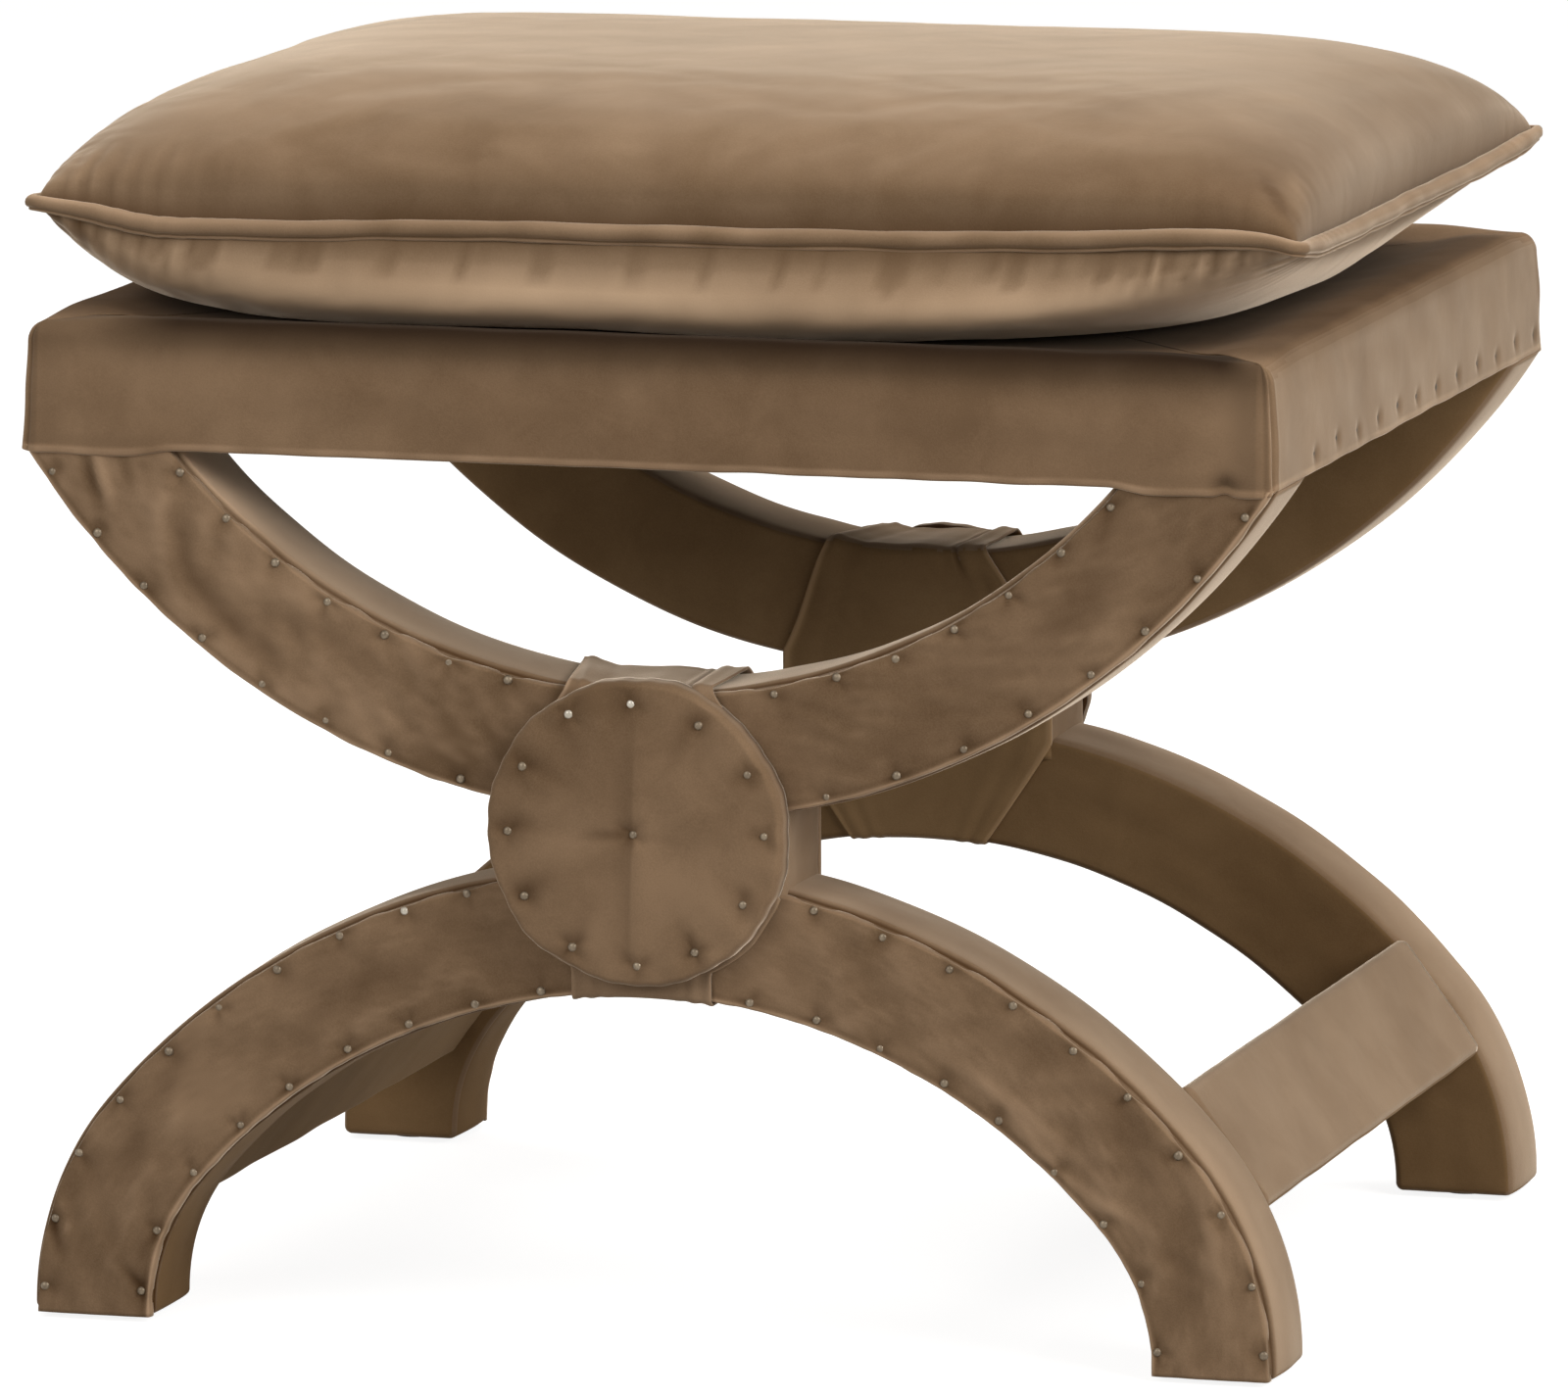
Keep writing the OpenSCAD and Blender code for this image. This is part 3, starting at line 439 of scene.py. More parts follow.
def upper_row(offset):
    """One row of nails on the right half of the upper arch."""
    r = UPPER_RI + offset
    a0 = first_angle(r, UPPER_Z)
    a1 = math.acos((UPPER_Z - DECK_UNDER + NAIL_END) / r)
    steps = max(1, round(r * (a1 - a0) / NAIL_PITCH))
    turns = [a0 + (a1 - a0) * i / steps for i in range(steps + 1)]
    return [(r * math.sin(a), UPPER_Z - r * math.cos(a)) for a in turns]


def lower_row(offset):
    """One row of nails on the right half of the lower arch."""
    r, h = CROWN_R + offset, HAUNCH_R + offset
    s0 = r * first_angle(r, CROWN_Z)
    last = math.acos((FOOT_Z + NAIL_END - HAUNCH_Z) / h)
    s1 = r * JOIN + h * (last - JOIN)
    steps = max(1, round((s1 - s0) / NAIL_PITCH))
    spots = []
    for i in range(steps + 1):
        s = s0 + (s1 - s0) * i / steps
        if s <= r * JOIN:
            spots.append((r * math.sin(s / r), CROWN_Z + r * math.cos(s / r)))
        else:
            a = JOIN + (s - r * JOIN) / h
            spots.append((HAUNCH_X + h * math.sin(a), HAUNCH_Z + h * math.cos(a)))
    return spots


def both_sides(spots):
    return spots + [(-x, z) for x, z in spots]


def hand_driven(inner, outer, inward, seed):
    """Both rows on both sides, each nail a little off its mark and nearer the panel's edge."""
    rng = np.random.default_rng(seed)
    spots = []
    for row, side in ((inner, -1), (outer, 1)):
        for x, z in both_sides(row):
            nx, nz = inward(x, z)
            off = side * (1.8 + rng.uniform(-0.7, 0.9)) * MM
            slip = rng.uniform(-1.2, 1.2) * MM
            spots.append((x + nx * off - nz * slip, z + nz * off + nx * slip))
    return spots


def upper_normal(x, z):
    r = math.hypot(x, z - UPPER_Z)
    return x / r, (z - UPPER_Z) / r


def lower_normal(x, z):
    side = 1 if x >= 0 else -1
    if math.atan2(abs(x), z - CROWN_Z) <= JOIN:
        r = math.hypot(x, z - CROWN_Z)
        return x / r, (z - CROWN_Z) / r
    r = math.hypot(x - side * HAUNCH_X, z - HAUNCH_Z)
    return (x - side * HAUNCH_X) / r, (z - HAUNCH_Z) / r


NAIL_SPOTS = {
    "upper": hand_driven(upper_row(NAIL_INSET), upper_row(UPPER_W - NAIL_INSET), upper_normal, 71),
    "lower": hand_driven(lower_row(NAIL_INSET), lower_row(LOWER_W - NAIL_INSET), lower_normal, 72),
}


def nail_pull(x, z, nails, seed, reach, tuck):
    """How much the nails hold the cloth down, close by and more widely, and the gathers round them."""
    rng = np.random.default_rng(seed)
    hold = np.zeros(x.shape)
    wide = np.zeros(x.shape)
    gather = np.zeros(x.shape)
    for nx, nz in nails:
        dx, dz = x - nx, z - nz
        d = np.sqrt(dx ** 2 + dz ** 2)
        hold = np.maximum(hold, bell(d, reach))
        wide = np.maximum(wide, bell(d, 1.9 * reach))
        rays, phase, size = rng.integers(2, 5), rng.uniform(0, math.tau), rng.uniform(0.5, 1.3)
        star = np.cos(rays * np.arctan2(dz, dx) + phase)
        gather += size * star * (d / tuck) * bell(d, tuck)
    return hold, wide, gather


# Nailed face panels, with their edges turned onto the bands

LIP_UP = 1.1 * MM
LIP_DOWN = 0.2 * MM
LIP_ROUND = 1.5 * MM
LIP_TURN = 2.8 * MM
PANEL_T = 0.9 * MM
NAIL_SINK = 0.8 * MM
PANEL_SWELL = 1.5 * MM
PANEL_STEP = 1.7 * MM
# Limits of the painted shading on a face panel.
PANEL_TONES = (-0.34, 0.78)


def lip_arc(edge, side, radius, behind, turns):
    """A section's rounded edge, from its side to its front: (n, y, normal n, normal y) at each angle."""
    return [(edge - side * radius * (1 - math.cos(a)), behind + radius * (1 - math.sin(a)),
             side * math.cos(a), -math.sin(a)) for a in np.radians(turns)]


def panel_section(width, step, start, stop):
    """Section of a face panel between two edges: (n, y behind the face, normal n, normal y, front share)."""
    arc = np.linspace(0, 90, 6)
    rows = [(start, y, -1, 0, 0) for y in np.linspace(LIP_TURN, LIP_ROUND, 3)[:-1]]
    rows += [(*row, -row[3]) for row in lip_arc(start, -1, LIP_ROUND, 0, arc)]
    near = np.array([0.5, 1.0, 1.6, 2.3, 3.2]) * MM
    middle = np.linspace(start + 6 * MM, stop - 6 * MM, int(width / step) - 6)
    for n in np.concatenate([start + LIP_ROUND + near, middle, stop - LIP_ROUND - near[::-1]]):
        rows.append((n, 0, 0, -1, 1))
    rows += [(*row, -row[3]) for row in lip_arc(stop, 1, LIP_ROUND, 0, arc[::-1])]
    rows += [(stop, y, 1, 0, 0) for y in np.linspace(LIP_ROUND, LIP_TURN, 3)[1:]]
    back = [(stop - PANEL_T, LIP_TURN), (stop - PANEL_T - LIP_ROUND / 2, PANEL_T + LIP_ROUND / 2),
            (width - LIP_ROUND, PANEL_T), (width / 2, PANEL_T), (LIP_ROUND, PANEL_T),
            (start + PANEL_T + LIP_ROUND / 2, PANEL_T + LIP_ROUND / 2), (start + PANEL_T, LIP_TURN)]
    rows += [(n, y, 0, 0, 0) for n, y in back]
    return np.array(rows)


def smooth_step(x, low, high):
    """Rises smoothly from 0 to 1 between two values."""
    t = np.clip((x - low) / (high - low), 0, 1)
    return t * t * (3 - 2 * t)


def stroke(x, z, path, width):
    """A soft line through points given in mm, from 0 to 1, that dies away towards its ends."""
    path = np.array(path, float) * MM
    steps = np.diff(path, axis=0)
    lengths = np.hypot(steps[:, 0], steps[:, 1])
    total = lengths.sum()
    best, done = 0 * (x + z), 0.0
    for (px, pz), (sx, sz), length in zip(path, steps, lengths):
        t = np.clip(((x - px) * sx + (z - pz) * sz) / length ** 2, 0, 1)
        d = np.hypot(x - px - t * sx, z - pz - t * sz) / (width * MM)
        taper = np.sin(math.pi * np.clip((done + t * length) / total, 0.04, 0.96)) ** 0.6
        best = np.maximum(best, np.exp(-d ** 2) * taper)
        done += length
    return best


# Single folds on the front of a face: path (x, z), width and height in mm, then the painted shade along it,
# negative for a painted highlight
FOLDS = {
    "upper": [
        (((-240.5, 367), (-238, 357), (-233.5, 345)), 2.6, -1.1, 0.60),
        (((-235.5, 367), (-232.5, 356), (-228.5, 344)), 2.8, 1.6, -0.34),
        (((-224, 367), (-222, 358), (-220, 352)), 2.4, -0.4, 0.25),
        (((-203, 352), (-209, 343), (-208, 328)), 4.0, 0.9, -0.22),
        (((-196, 352), (-199, 336), (-197, 321), (-181, 299), (-149, 277)), 6.2, -1.1, 0.58),
        (((-178, 312), (-150, 297), (-120, 285), (-92, 276)), 7.0, -0.6, 0.26),
        (((-206, 322), (-192, 300), (-166, 276), (-132, 256)), 7.0, 0.7, -0.14),
        (((-134, 268), (-104, 252), (-78, 246)), 6.0, 0.4, -0.12),
        (((-120, 262), (-96, 246), (-70, 236)), 4.0, -0.3, 0.16),
        (((199, 366), (197, 352), (193, 342)), 3.2, -0.5, 0.26),
        (((236, 366), (233, 352), (226, 338)), 3.0, 0.6, -0.16),
        (((222, 344), (206, 318), (182, 294)), 7.0, 0.6, -0.12),
        (((206, 346), (190, 322), (166, 300), (140, 284)), 7.5, -0.6, 0.20),
        (((120, 268), (94, 252), (74, 246)), 6.0, -0.4, 0.18),
    ],
    "lower": [
        (((122, 135), (160, 112), (199, 79)), 3.4, 0.6, -0.18),
        (((150, 142), (167, 137), (186, 128), (211, 105), (235, 75)), 5.5, -0.7, 0.32),
        (((77, 150), (95, 135)), 4.5, 0.5, -0.16),
        (((226, 100), (242, 62), (250, 30)), 4.0, 0.5, -0.16),
        (((214, 78), (232, 40), (238, 14)), 6.0, -0.5, 0.20),
        (((-92, 163), (-128, 146), (-160, 122)), 6.0, -0.6, 0.24),
        (((-80, 152), (-118, 134), (-150, 112)), 4.0, 0.5, -0.15),
        (((-196, 118), (-216, 92), (-230, 60)), 5.0, -0.6, 0.24),
        (((-261, 46), (-258, 36), (-255, 26)), 2.6, -1.0, 0.50),
        (((-256, 52), (-253, 42), (-252, 34)), 2.8, 1.1, -0.28),
        (((-229, 26), (-223, 18), (-217, 9)), 2.4, -0.8, 0.50),
        (((-213, 41), (-218, 33), (-221, 25)), 2.6, -0.5, 0.34),
        (((143, 124), (161, 105), (177, 85), (197, 72), (222, 59)), 3.2, 0.7, -0.22),
        (((190, 114), (211, 90), (233, 60)), 5.0, -0.5, 0.24),
        (((-204, 88), (-222, 56), (-232, 24)), 4.5, 0.5, -0.15),
    ],
}


def panel_relief(kind, x, z, n, along, seed):
    """How far a face panel stands out, with its tension creases, puckers at the nails and tucks, and their
    painted shade and painted highlights.
    """
    width = ARCHES[kind]["width"]
    spots = NAIL_SPOTS[kind]
    hold, wide, gather = nail_pull(x, z, spots, seed, 5.0 * MM, 5 * MM)
    middle = np.clip(1 - np.abs(2 * n / width - 1) ** 5, 0, 1) ** 0.5
    by_hub = smooth_step(np.abs(x), 58 * MM, 80 * MM)
    swell = NAIL_SINK + PANEL_SWELL * (0.25 + 0.75 * middle) * (1 - hold) * (0.35 + 0.65 * by_hub)
    broad = ripple(along + 1.3 * n, 0.4 * n, seed + 1, 52 * MM)
    slanted = ripple(along - 0.9 * n, 0.8 * n, seed + 3, 21 * MM)
    small = ripple(along + 0.8 * n, 1.6 * n, seed + 6, 11 * MM)
    pulls = (0.60 * MM * broad + 0.22 * MM * slanted + 0.07 * MM * small) * middle
    out = swell + (pulls + 0.6 * MM * gather) * (0.4 + 0.6 * by_hub)
    # Painted shade round the nails, in the puckers' hollows and along the broad creases, and a painted
    # highlight on the puckers' ridges.
    painted_shading = 0.30 * hold + 0.40 * np.clip(-gather, 0, 1.3) - 0.18 * np.clip(gather, 0, 1)
    painted_shading += (0.09 * np.clip(-broad, -1, 1) + 0.05 * np.clip(-slanted, -1, 1) + 0.05 * small) * middle
    # A painted light falloff across the frame: the upper panels darker to the right, the lower ones lighter
    # to the right.
    painted_shading += (0.13 if kind == "upper" else -0.06) * np.clip(x / (200 * MM), -1.1, 1)
    for path, wide_mm, high, dark in FOLDS[kind]:
        line = stroke(x, z, path, wide_mm) * np.clip(middle * 1.3, 0, 1)
        out = out + high * MM * line
        painted_shading = painted_shading + dark * line
    return out, painted_shading, wide


def face_panel(kind, seed):
    """One nailed panel: swelling between its nails, and rolled over along its lower edge."""
    arch = ARCHES[kind]
    width = arch["width"]
    start, stop = (LIP_UP, width - LIP_DOWN) if kind == "upper" else (LIP_DOWN, width - LIP_UP)
    section = panel_section(width, PANEL_STEP, start, stop)
    share = spaced(arch["run"], PANEL_STEP)[:, None]
    n, y, dn, front = (section[None, :, k] for k in (0, 1, 2, 4))
    x, z, nx, nz = arch["at"](share, n)
    along = share * arch["run"]
    out, painted_shading, wide = panel_relief(kind, x, z, n, along, seed)
    looks_down = (dn > 0) if kind == "upper" else (dn < 0)
    from_low = (stop - n) if kind == "upper" else (n - start)
    uneven = 0.85 + 0.15 * ripple(along, n, seed + 9, 20 * MM)
    roll = bell(from_low - 1.1 * MM, 0.9 * MM) * front * uneven
    # Painted shade just behind the rolled edge.
    behind = bell(from_low - 3.6 * MM, 1.0 * MM) * front
    out = out * (1 - 0.5 * roll) + 0.9 * MM * roll
    painted_shading = painted_shading * (1 - roll) + 0.16 * behind
    bite = np.where(looks_down, 0.3, 1.2)
    shift = dn * np.abs(dn) * (0.3 * MM * ripple(along, n, seed + 2, 17 * MM) - bite * MM * wide)
    x = x + nx * shift
    z = z + nz * shift
    depth = FACE_Y + y - front * out + 0 * x
    # A painted highlight on the panel's turned edge, stronger on the edges that look down, and over the
    # rolled edge.
    lit = np.where(looks_down, 0.80, 0.26) * (0.75 + 0.25 * ripple(along, n, seed + 8, 24 * MM))
    lit = lit * np.abs(dn) * (y < LIP_TURN - 0.2 * MM) * (0.55 + 0.45 * (1 - wide))
    painted_shading = front * (np.clip(painted_shading, *PANEL_TONES) - 0.62 * roll) - lit
    return {"points": np.stack([x, depth, z], -1), "painted_shading": painted_shading + 0 * x}


# The wraps over the edges and the inner faces

WRAP_ROUND = 3.2 * MM
WRAP_BEHIND = 1.1 * MM
WRAP_FRONT_ROUND = 3.0 * MM
BAND_SWELL = 1.3 * MM
WRAP_STEP = 2.4 * MM
CREASE_PAINTED_SHADE = 0.9


def band_section(width, depth):
    """A closed loop round an arch's section, finely stepped just behind the face panel."""
    fine = np.array([4.4, 4.8, 5.3, 6, 7, 8.6]) * MM
    side = np.concatenate([fine, np.linspace(10.8 * MM, depth - WRAP_ROUND, 14)])
    rows = [(width, y, 1, 0) for y in side]
    r = WRAP_ROUND
    rows += [(width - r + r * math.cos(a), depth - r + r * math.sin(a), math.cos(a), math.sin(a))
             for a in np.radians(np.linspace(0, 90, 6))[1:]]
    rows += [(n, depth, 0, 1) for n in np.linspace(width - r, r, 19)[1:-1]]
    rows += [(r + r * math.cos(a), depth - r + r * math.sin(a), math.cos(a), math.sin(a))
             for a in np.radians(np.linspace(90, 180, 6))[:-1]]
    rows += [(0, y, -1, 0) for y in side[::-1]]
    r = WRAP_FRONT_ROUND
    rows += lip_arc(0, -1, r, WRAP_BEHIND, np.linspace(0, 90, 10))
    rows += [(n, WRAP_BEHIND, 0, -1) for n in np.linspace(r, width - r, 9)[1:-1]]
    rows += lip_arc(width, 1, r, WRAP_BEHIND, np.linspace(90, 0, 10))
    return np.array(rows)


def arch_wrap(kind, seed):
    """The cover over an arch's edges and inner face, creased where the face panel's edge lies on it, with
    painted shade in that crease and painted light and shade over the band.
    """
    arch = ARCHES[kind]
    width = arch["width"]
    section = band_section(width, INNER_Y - FACE_Y)
    n, y, dn, dy = (section[None, :, k] for k in range(4))
    if kind == "upper":
        share = spaced(arch["run"], WRAP_STEP)[:, None]
        inset = 0
    else:
        end = WRAP_ROUND / arch["run"]
        ends = end * (1 - np.cos(np.linspace(0, math.pi / 2, 6)))
        middle = np.linspace(end, 1 - end, int(arch["run"] / WRAP_STEP))
        share = np.concatenate([ends[:-1], middle, (1 - ends[:-1])[::-1]])[:, None]
        near = np.minimum(share, 1 - share) / end
        inset = np.where(near < 1, WRAP_ROUND * (1 - np.sqrt(np.clip(1 - (1 - near) ** 2, 0, 1))), 0)
    along = share * arch["run"]
    wander = 0.35 * MM * ripple(along, 0 * n, seed + 4, 33 * MM)
    front = dy < -0.01
    looks_down = (n > width / 2) if kind == "upper" else (n < width / 2)
    place = np.where(looks_down, 3.3 * MM, 2.4 * MM)
    reach = np.where(looks_down, 0.9 * MM, 1.25 * MM)
    crease = np.where(front | (y < 7 * MM), bell(y - place - wander, reach), 0)
    hollow = np.where(looks_down, 0.8 * MM, 1.3 * MM)
    clear = smooth_step(np.abs(share - 0.5) * arch["run"], 34 * MM, 70 * MM)
    soft = 0.28 * MM * (0.2 + 0.8 * clear) * ripple(along, y + 2 * n, seed, 52 * MM) * (dy > -0.5)
    belly = np.sin(math.pi * np.clip((y - 1 * MM) / (46 * MM), 0, 1))
    pad = clear * BAND_SWELL * np.clip(belly, 0, 1) ** 0.5 * np.abs(dn)
    out = soft + pad - hollow * crease - inset
    x, z, nx, nz = arch["at"](share, n)
    x = x + nx * dn * out
    z = z + nz * dn * out
    depth = FACE_Y + y + dy * out + 0 * x
    # Painted shade towards the back and on faces that look into the frame, more on the lower arch's inner
    # side; a painted highlight near the face; the upper band's up-facing side painted lighter near the deck,
    # against its shadow; the lower band's outer side painted lighter to the right.
    shaded = 0.12 * smooth_step(y, 26 * MM, 48 * MM) * np.abs(dn)
    shaded = shaded + (0.26 if kind == "lower" else 0.08) * np.clip(dy, 0, 1)
    lit = 0.12 * bell(y - 9 * MM, 6 * MM) * np.abs(dn) * np.where(looks_down, 0.2, 1.0)
    if kind == "upper":
        by_deck = 0.22 * smooth_step(z, 285 * MM, 320 * MM) + 0.5 * smooth_step(z, 325 * MM, 352 * MM)
        shaded = shaded - by_deck * np.clip(-dn, 0, 1)
    else:
        to_right = smooth_step(x, 150 * MM, 230 * MM)
        shaded = shaded + 0.24 * np.clip(-dn, 0, 1) - 0.12 * to_right * np.clip(dn, 0, 1)
    return {"points": np.stack([x, depth, z], -1), "painted_shading": CREASE_PAINTED_SHADE * crease + shaded - lit + 0 * x}


def flip(shell):
    """The same shell on the back frame."""
    grid = shell["points"].copy()
    grid[..., 1] *= -1
    return {**shell, "points": grid}


def shade_inner(obj, end):
    """The faces that look towards the other frame, and a lower arch's inner faces, get the deeper shade."""
    towards = 1 if end == "front" else -1
    for face in obj.data.polygons:
        place = face.center
        inner = face.normal.z < -0.3 or face.normal.x * place.x < -0.3 * abs(place.x)
        in_arch = place.z < CROWN_TOP and inner and abs(face.normal.y) < 0.3
        if face.normal.y * towards > 0.8 or in_arch:
            face.material_index = 1


def build_arches():
    """Both arches of both frames: the nailed panel, the cover and the nail heads."""
    seed = 11
    for end in ("front", "back"):
        for kind in ("upper", "lower"):
            seed += 10
            panel, wrap = face_panel(kind, seed), arch_wrap(kind, seed + 5)
            if end == "back":
                panel, wrap = flip(panel), flip(wrap)
            node = f"{end}_{kind}"
            build(f"{node}_panel", [panel], VELVET_FACE, replaces=[f"{node}_face"])
            cover = build(f"{node}_cover", [wrap], VELVET_BAND, second=VELVET_PAINTED_SHADE,
                          replaces=[f"{node}_wrap", f"{node}_wadding"])
            shade_inner(cover, end)
            spots = [(x, FACE_Y - NAIL_SINK, z) for x, z in NAIL_SPOTS[kind]]
            build_nails(f"{node}_nail_heads", spots, end, seed + 7, f"{node}_nails")


# Nails: low domes with a small brim, each a little tilted, and a shank into the timber

HEAD_R = 1.8 * MM
HEAD_H = 1.15 * MM
SHANK_R = 0.6 * MM
SHANK_L = 9 * MM
HEAD_TURNS = 16


def nail_shell(place, ahead, tilt, scale, bright):
    """One nail: a dome of rings about its axis, then a shank behind it."""
    arc = np.radians(np.linspace(4, 84, 7))
    shank_radii = [HEAD_R * 1.05, HEAD_R * 0.96, SHANK_R, SHANK_R, SHANK_R * 0.2]
    shank_rise = [0.06 * HEAD_H, -0.2 * MM, -0.3 * MM, -SHANK_L + 2 * MM, -SHANK_L]
    radii = np.concatenate([HEAD_R * np.sin(arc), shank_radii])
    rise = np.concatenate([HEAD_H * np.cos(arc), shank_rise])
    turns = np.linspace(0, math.tau, HEAD_TURNS, endpoint=False)
    axis = np.array(ahead, float)
    side = np.cross(axis, (0, 0, 1))
    up = np.cross(side, axis)
    axis = axis + tilt[0] * side + tilt[1] * up
    axis /= np.linalg.norm(axis)
    side = np.cross(axis, (0, 0, 1))
    side /= np.linalg.norm(side)
    up = np.cross(side, axis)
    ring = radii[:, None, None] * (np.cos(turns)[None, :, None] * side + np.sin(turns)[None, :, None] * up)
    return {"points": np.array(place) + scale * (ring + rise[:, None, None] * axis), "finish": int(bright)}


def build_nails(name, spots, end, seed, node, material=NAIL_DULL):
    """Nails in an upright face: at the front, at the back, or on both sides."""
    ahead = {"front": (0, -1, 0), "back": (0, 1, 0), "left": (-1, 0, 0), "right": (1, 0, 0)}
    rng = np.random.default_rng(seed)
    shells = []
    for spot in spots:
        side = end
        if end == "sides":
            side = "left" if spot[0] < 0 else "right"
        if end == "back":
            spot = (spot[0], -spot[1], spot[2])
        bright = any(math.dist(spot, known) < BRIGHT_REACH for known in BRIGHT_NAILS)
        rng.uniform()  # a draw without use, kept so that the next ones give the same tilts
        tilt, scale = rng.uniform(-0.10, 0.10, 2), rng.uniform(0.9, 1.08)
        shells.append(nail_shell(spot, ahead[side], tilt, scale, bright))
    build(name, shells, material, replaces=[node], second=NAIL_BRIGHT)


# The few nails that shine in the photo
BRIGHT_NAILS = [(x * MM, y, z * MM) for x, y, z in (
    (-193, FACE_Y, 352), (-170, FACE_Y, 327), (-25, MEDALLION_FRONT, 272), (3, MEDALLION_FRONT, 275),
    (-104, FACE_Y, 177))]
BRIGHT_REACH = 9 * MM


# The hub: an hourglass band round the crossing, and the strip between the arches

HUB_PROUD = 2.9 * MM
HUB_BACK_PROUD = 1.6 * MM
HUB_OVER = 1.6 * MM
HUB_ROUND = 3.0 * MM
HUB_T = 1.2 * MM
PLEATS = ((-0.80, 0.07, 0.9), (-0.52, 0.10, -0.7), (0.12, 0.2, 0.7), (0.52, 0.09, -0.6), (0.80, 0.09, 1.0))


def upper_curve(r, x):
    """Height of a circle about the upper arch's centre."""
    return UPPER_Z - np.sqrt(r ** 2 - x ** 2)


def lower_curve(r, x):
    """Height of a circle about the lower arch's crown centre."""
    return CROWN_Z + np.sqrt(r ** 2 - x ** 2)


def hub_band(seed):
    """The band over the crossing: narrow at top and bottom, with pleats over its top edge, painted shade in
    its slit and pleats and a painted highlight on its hems.
    """
    low, high = CROWN_H - VELVET_T, UPPER_LOW + UPPER_W + VELVET_T
    side_low = lower_curve(CROWN_R + LOWER_W, HUB_HALF)
    side_high = upper_curve(UPPER_RO, HUB_HALF)
    loop = rounded_loop(low, high, FACE_Y - HUB_PROUD, INNER_Y + HUB_BACK_PROUD, HUB_ROUND, 1.8 * MM, 7)
    across = 0.5 * np.linspace(-1, 1, 61) + 0.5 * np.sin(math.pi / 2 * np.linspace(-1, 1, 61))
    parts = []
    for depth, order in ((0, 1), (HUB_T, -1)):
        u = across[None, ::order]
        zc, y, dz, dy = (loop[:, None, k] for k in range(4))
        half = np.interp(zc, [low, side_low, side_high, high],
                         [WRAP_BOTTOM_HALF, HUB_HALF, HUB_HALF, WRAP_TOP_HALF])
        chord = np.sqrt(np.clip(COVER_R ** 2 - (MEDALLION_Z - zc) ** 2, 0, None))
        rim = np.where(zc < side_low, np.maximum(chord + 1 * MM, WRAP_BOTTOM_HALF),
                       np.where(zc < side_high, chord - 1 * MM, half))
        half = half + (np.minimum(rim, half) - half) * (1 - smooth_step(y, FACE_Y + 5 * MM, FACE_Y + 14 * MM))
        skew = np.where(u < 0, 9 * MM, 0) * smooth_step(zc, side_high, high)
        skew = skew * (y - FACE_Y) / (INNER_Y - FACE_Y)
        x = u * (half + skew)
        top = upper_curve(UPPER_RI, x) + VELVET_T
        bottom = lower_curve(CROWN_R, x) - 0.95 * MM
        share = (zc - low) / (high - low)
        z = bottom + share * (top - bottom)
        around = np.arange(len(loop))[:, None] * 1.8 * MM
        over_top = smooth_step(share, 0.88, 0.97)
        over_bottom = 1 - smooth_step(share, 0.03, 0.12)
        calm = 1 - 0.8 * over_bottom
        slant = u + 0.10 * (y - FACE_Y) / (INNER_Y - FACE_Y)
        pleats = sum(high_by * bell(slant - at, wide) for at, wide, high_by in PLEATS)
        dark_slit = bell(slant - 0.66, 0.035) * over_top
        hem = smooth_step(np.abs(u), 0.93, 0.975)
        out = 0.35 * MM * calm * ripple(x, around, seed, 34 * MM)
        out = out + over_top * (HUB_OVER + MM * pleats) * (1 - 0.35 * hem)
        out = out + 0.45 * MM * hem * calm - 0.9 * MM * dark_slit - depth
        out = out + 0.25 * MM * (1 - over_top) * np.cos(26 * slant) * smooth_step(np.abs(u), 0.3, 0.8)
        # Painted shade in the slit and the pleats' hollows, and a painted highlight along the hems.
        lit = np.where((u > 0) & (y < INNER_Y - 4 * MM), 0.1, 1.0)
        lit = lit * np.where((u < 0) & (zc < side_low), 0.15, 1.0)
        painted_shading = 0.6 * dark_slit - 0.40 * hem * lit + 0.22 * np.clip(-pleats, 0, 1) * over_top
        parts.append((x + 0 * zc, y + dy * out, z + dz * out, painted_shading + 0 * x))
    x, y, z, painted_shading = (np.concatenate([a, b], 1) for a, b in zip(*parts))
    return {"points": np.stack([x, y, z], -1), "wrap": (True, True), "painted_shading": painted_shading}


def hub_side(seed):
    """The block of cloth between the arches, whose sides show."""
    loop = rounded_loop(-HUB_HALF - 0.3 * MM, HUB_HALF + 0.3 * MM, FACE_Y - 1.6 * MM, INNER_Y + MM,
                        4 * MM, 2.5 * MM)
    levels = np.linspace(lower_curve(CROWN_R + LOWER_W, HUB_HALF) - 9 * MM,
                         upper_curve(UPPER_RO, HUB_HALF) + 9 * MM, 24)[:, None]
    x, y, dx, dy = (loop[None, :, k] for k in range(4))
    middle = (levels - levels.mean()) / (levels.max() - levels.min())
    waist = -0.2 * MM * np.cos(math.pi * middle) * np.abs(dx)
    out = waist + 0.30 * MM * ripple(y, 1.6 * levels, seed, 40 * MM)
    # An even painted shade over the block between the arches.
    return {"points": np.stack([x + dx * out, y + dy * out, levels + 0 * x], -1), "painted_shading": 0.12}


# The medallion: a covered disc whose edge is drawn in by its nails

RIM_ROUND = 3.0 * MM
DOME = 2.2 * MM
COVER_R = 63.8 * MM
BACK_COVER_R = 63.2 * MM
BACK_DROP = 1.6 * MM
DISC_TURNS = 240


def crease(across, along, width, length):
    """A crossing crease, from 0 to 1, that dies away over its length."""
    return bell(across, width) * np.clip(1 - np.abs(along) / length, 0, 1) ** 0.7


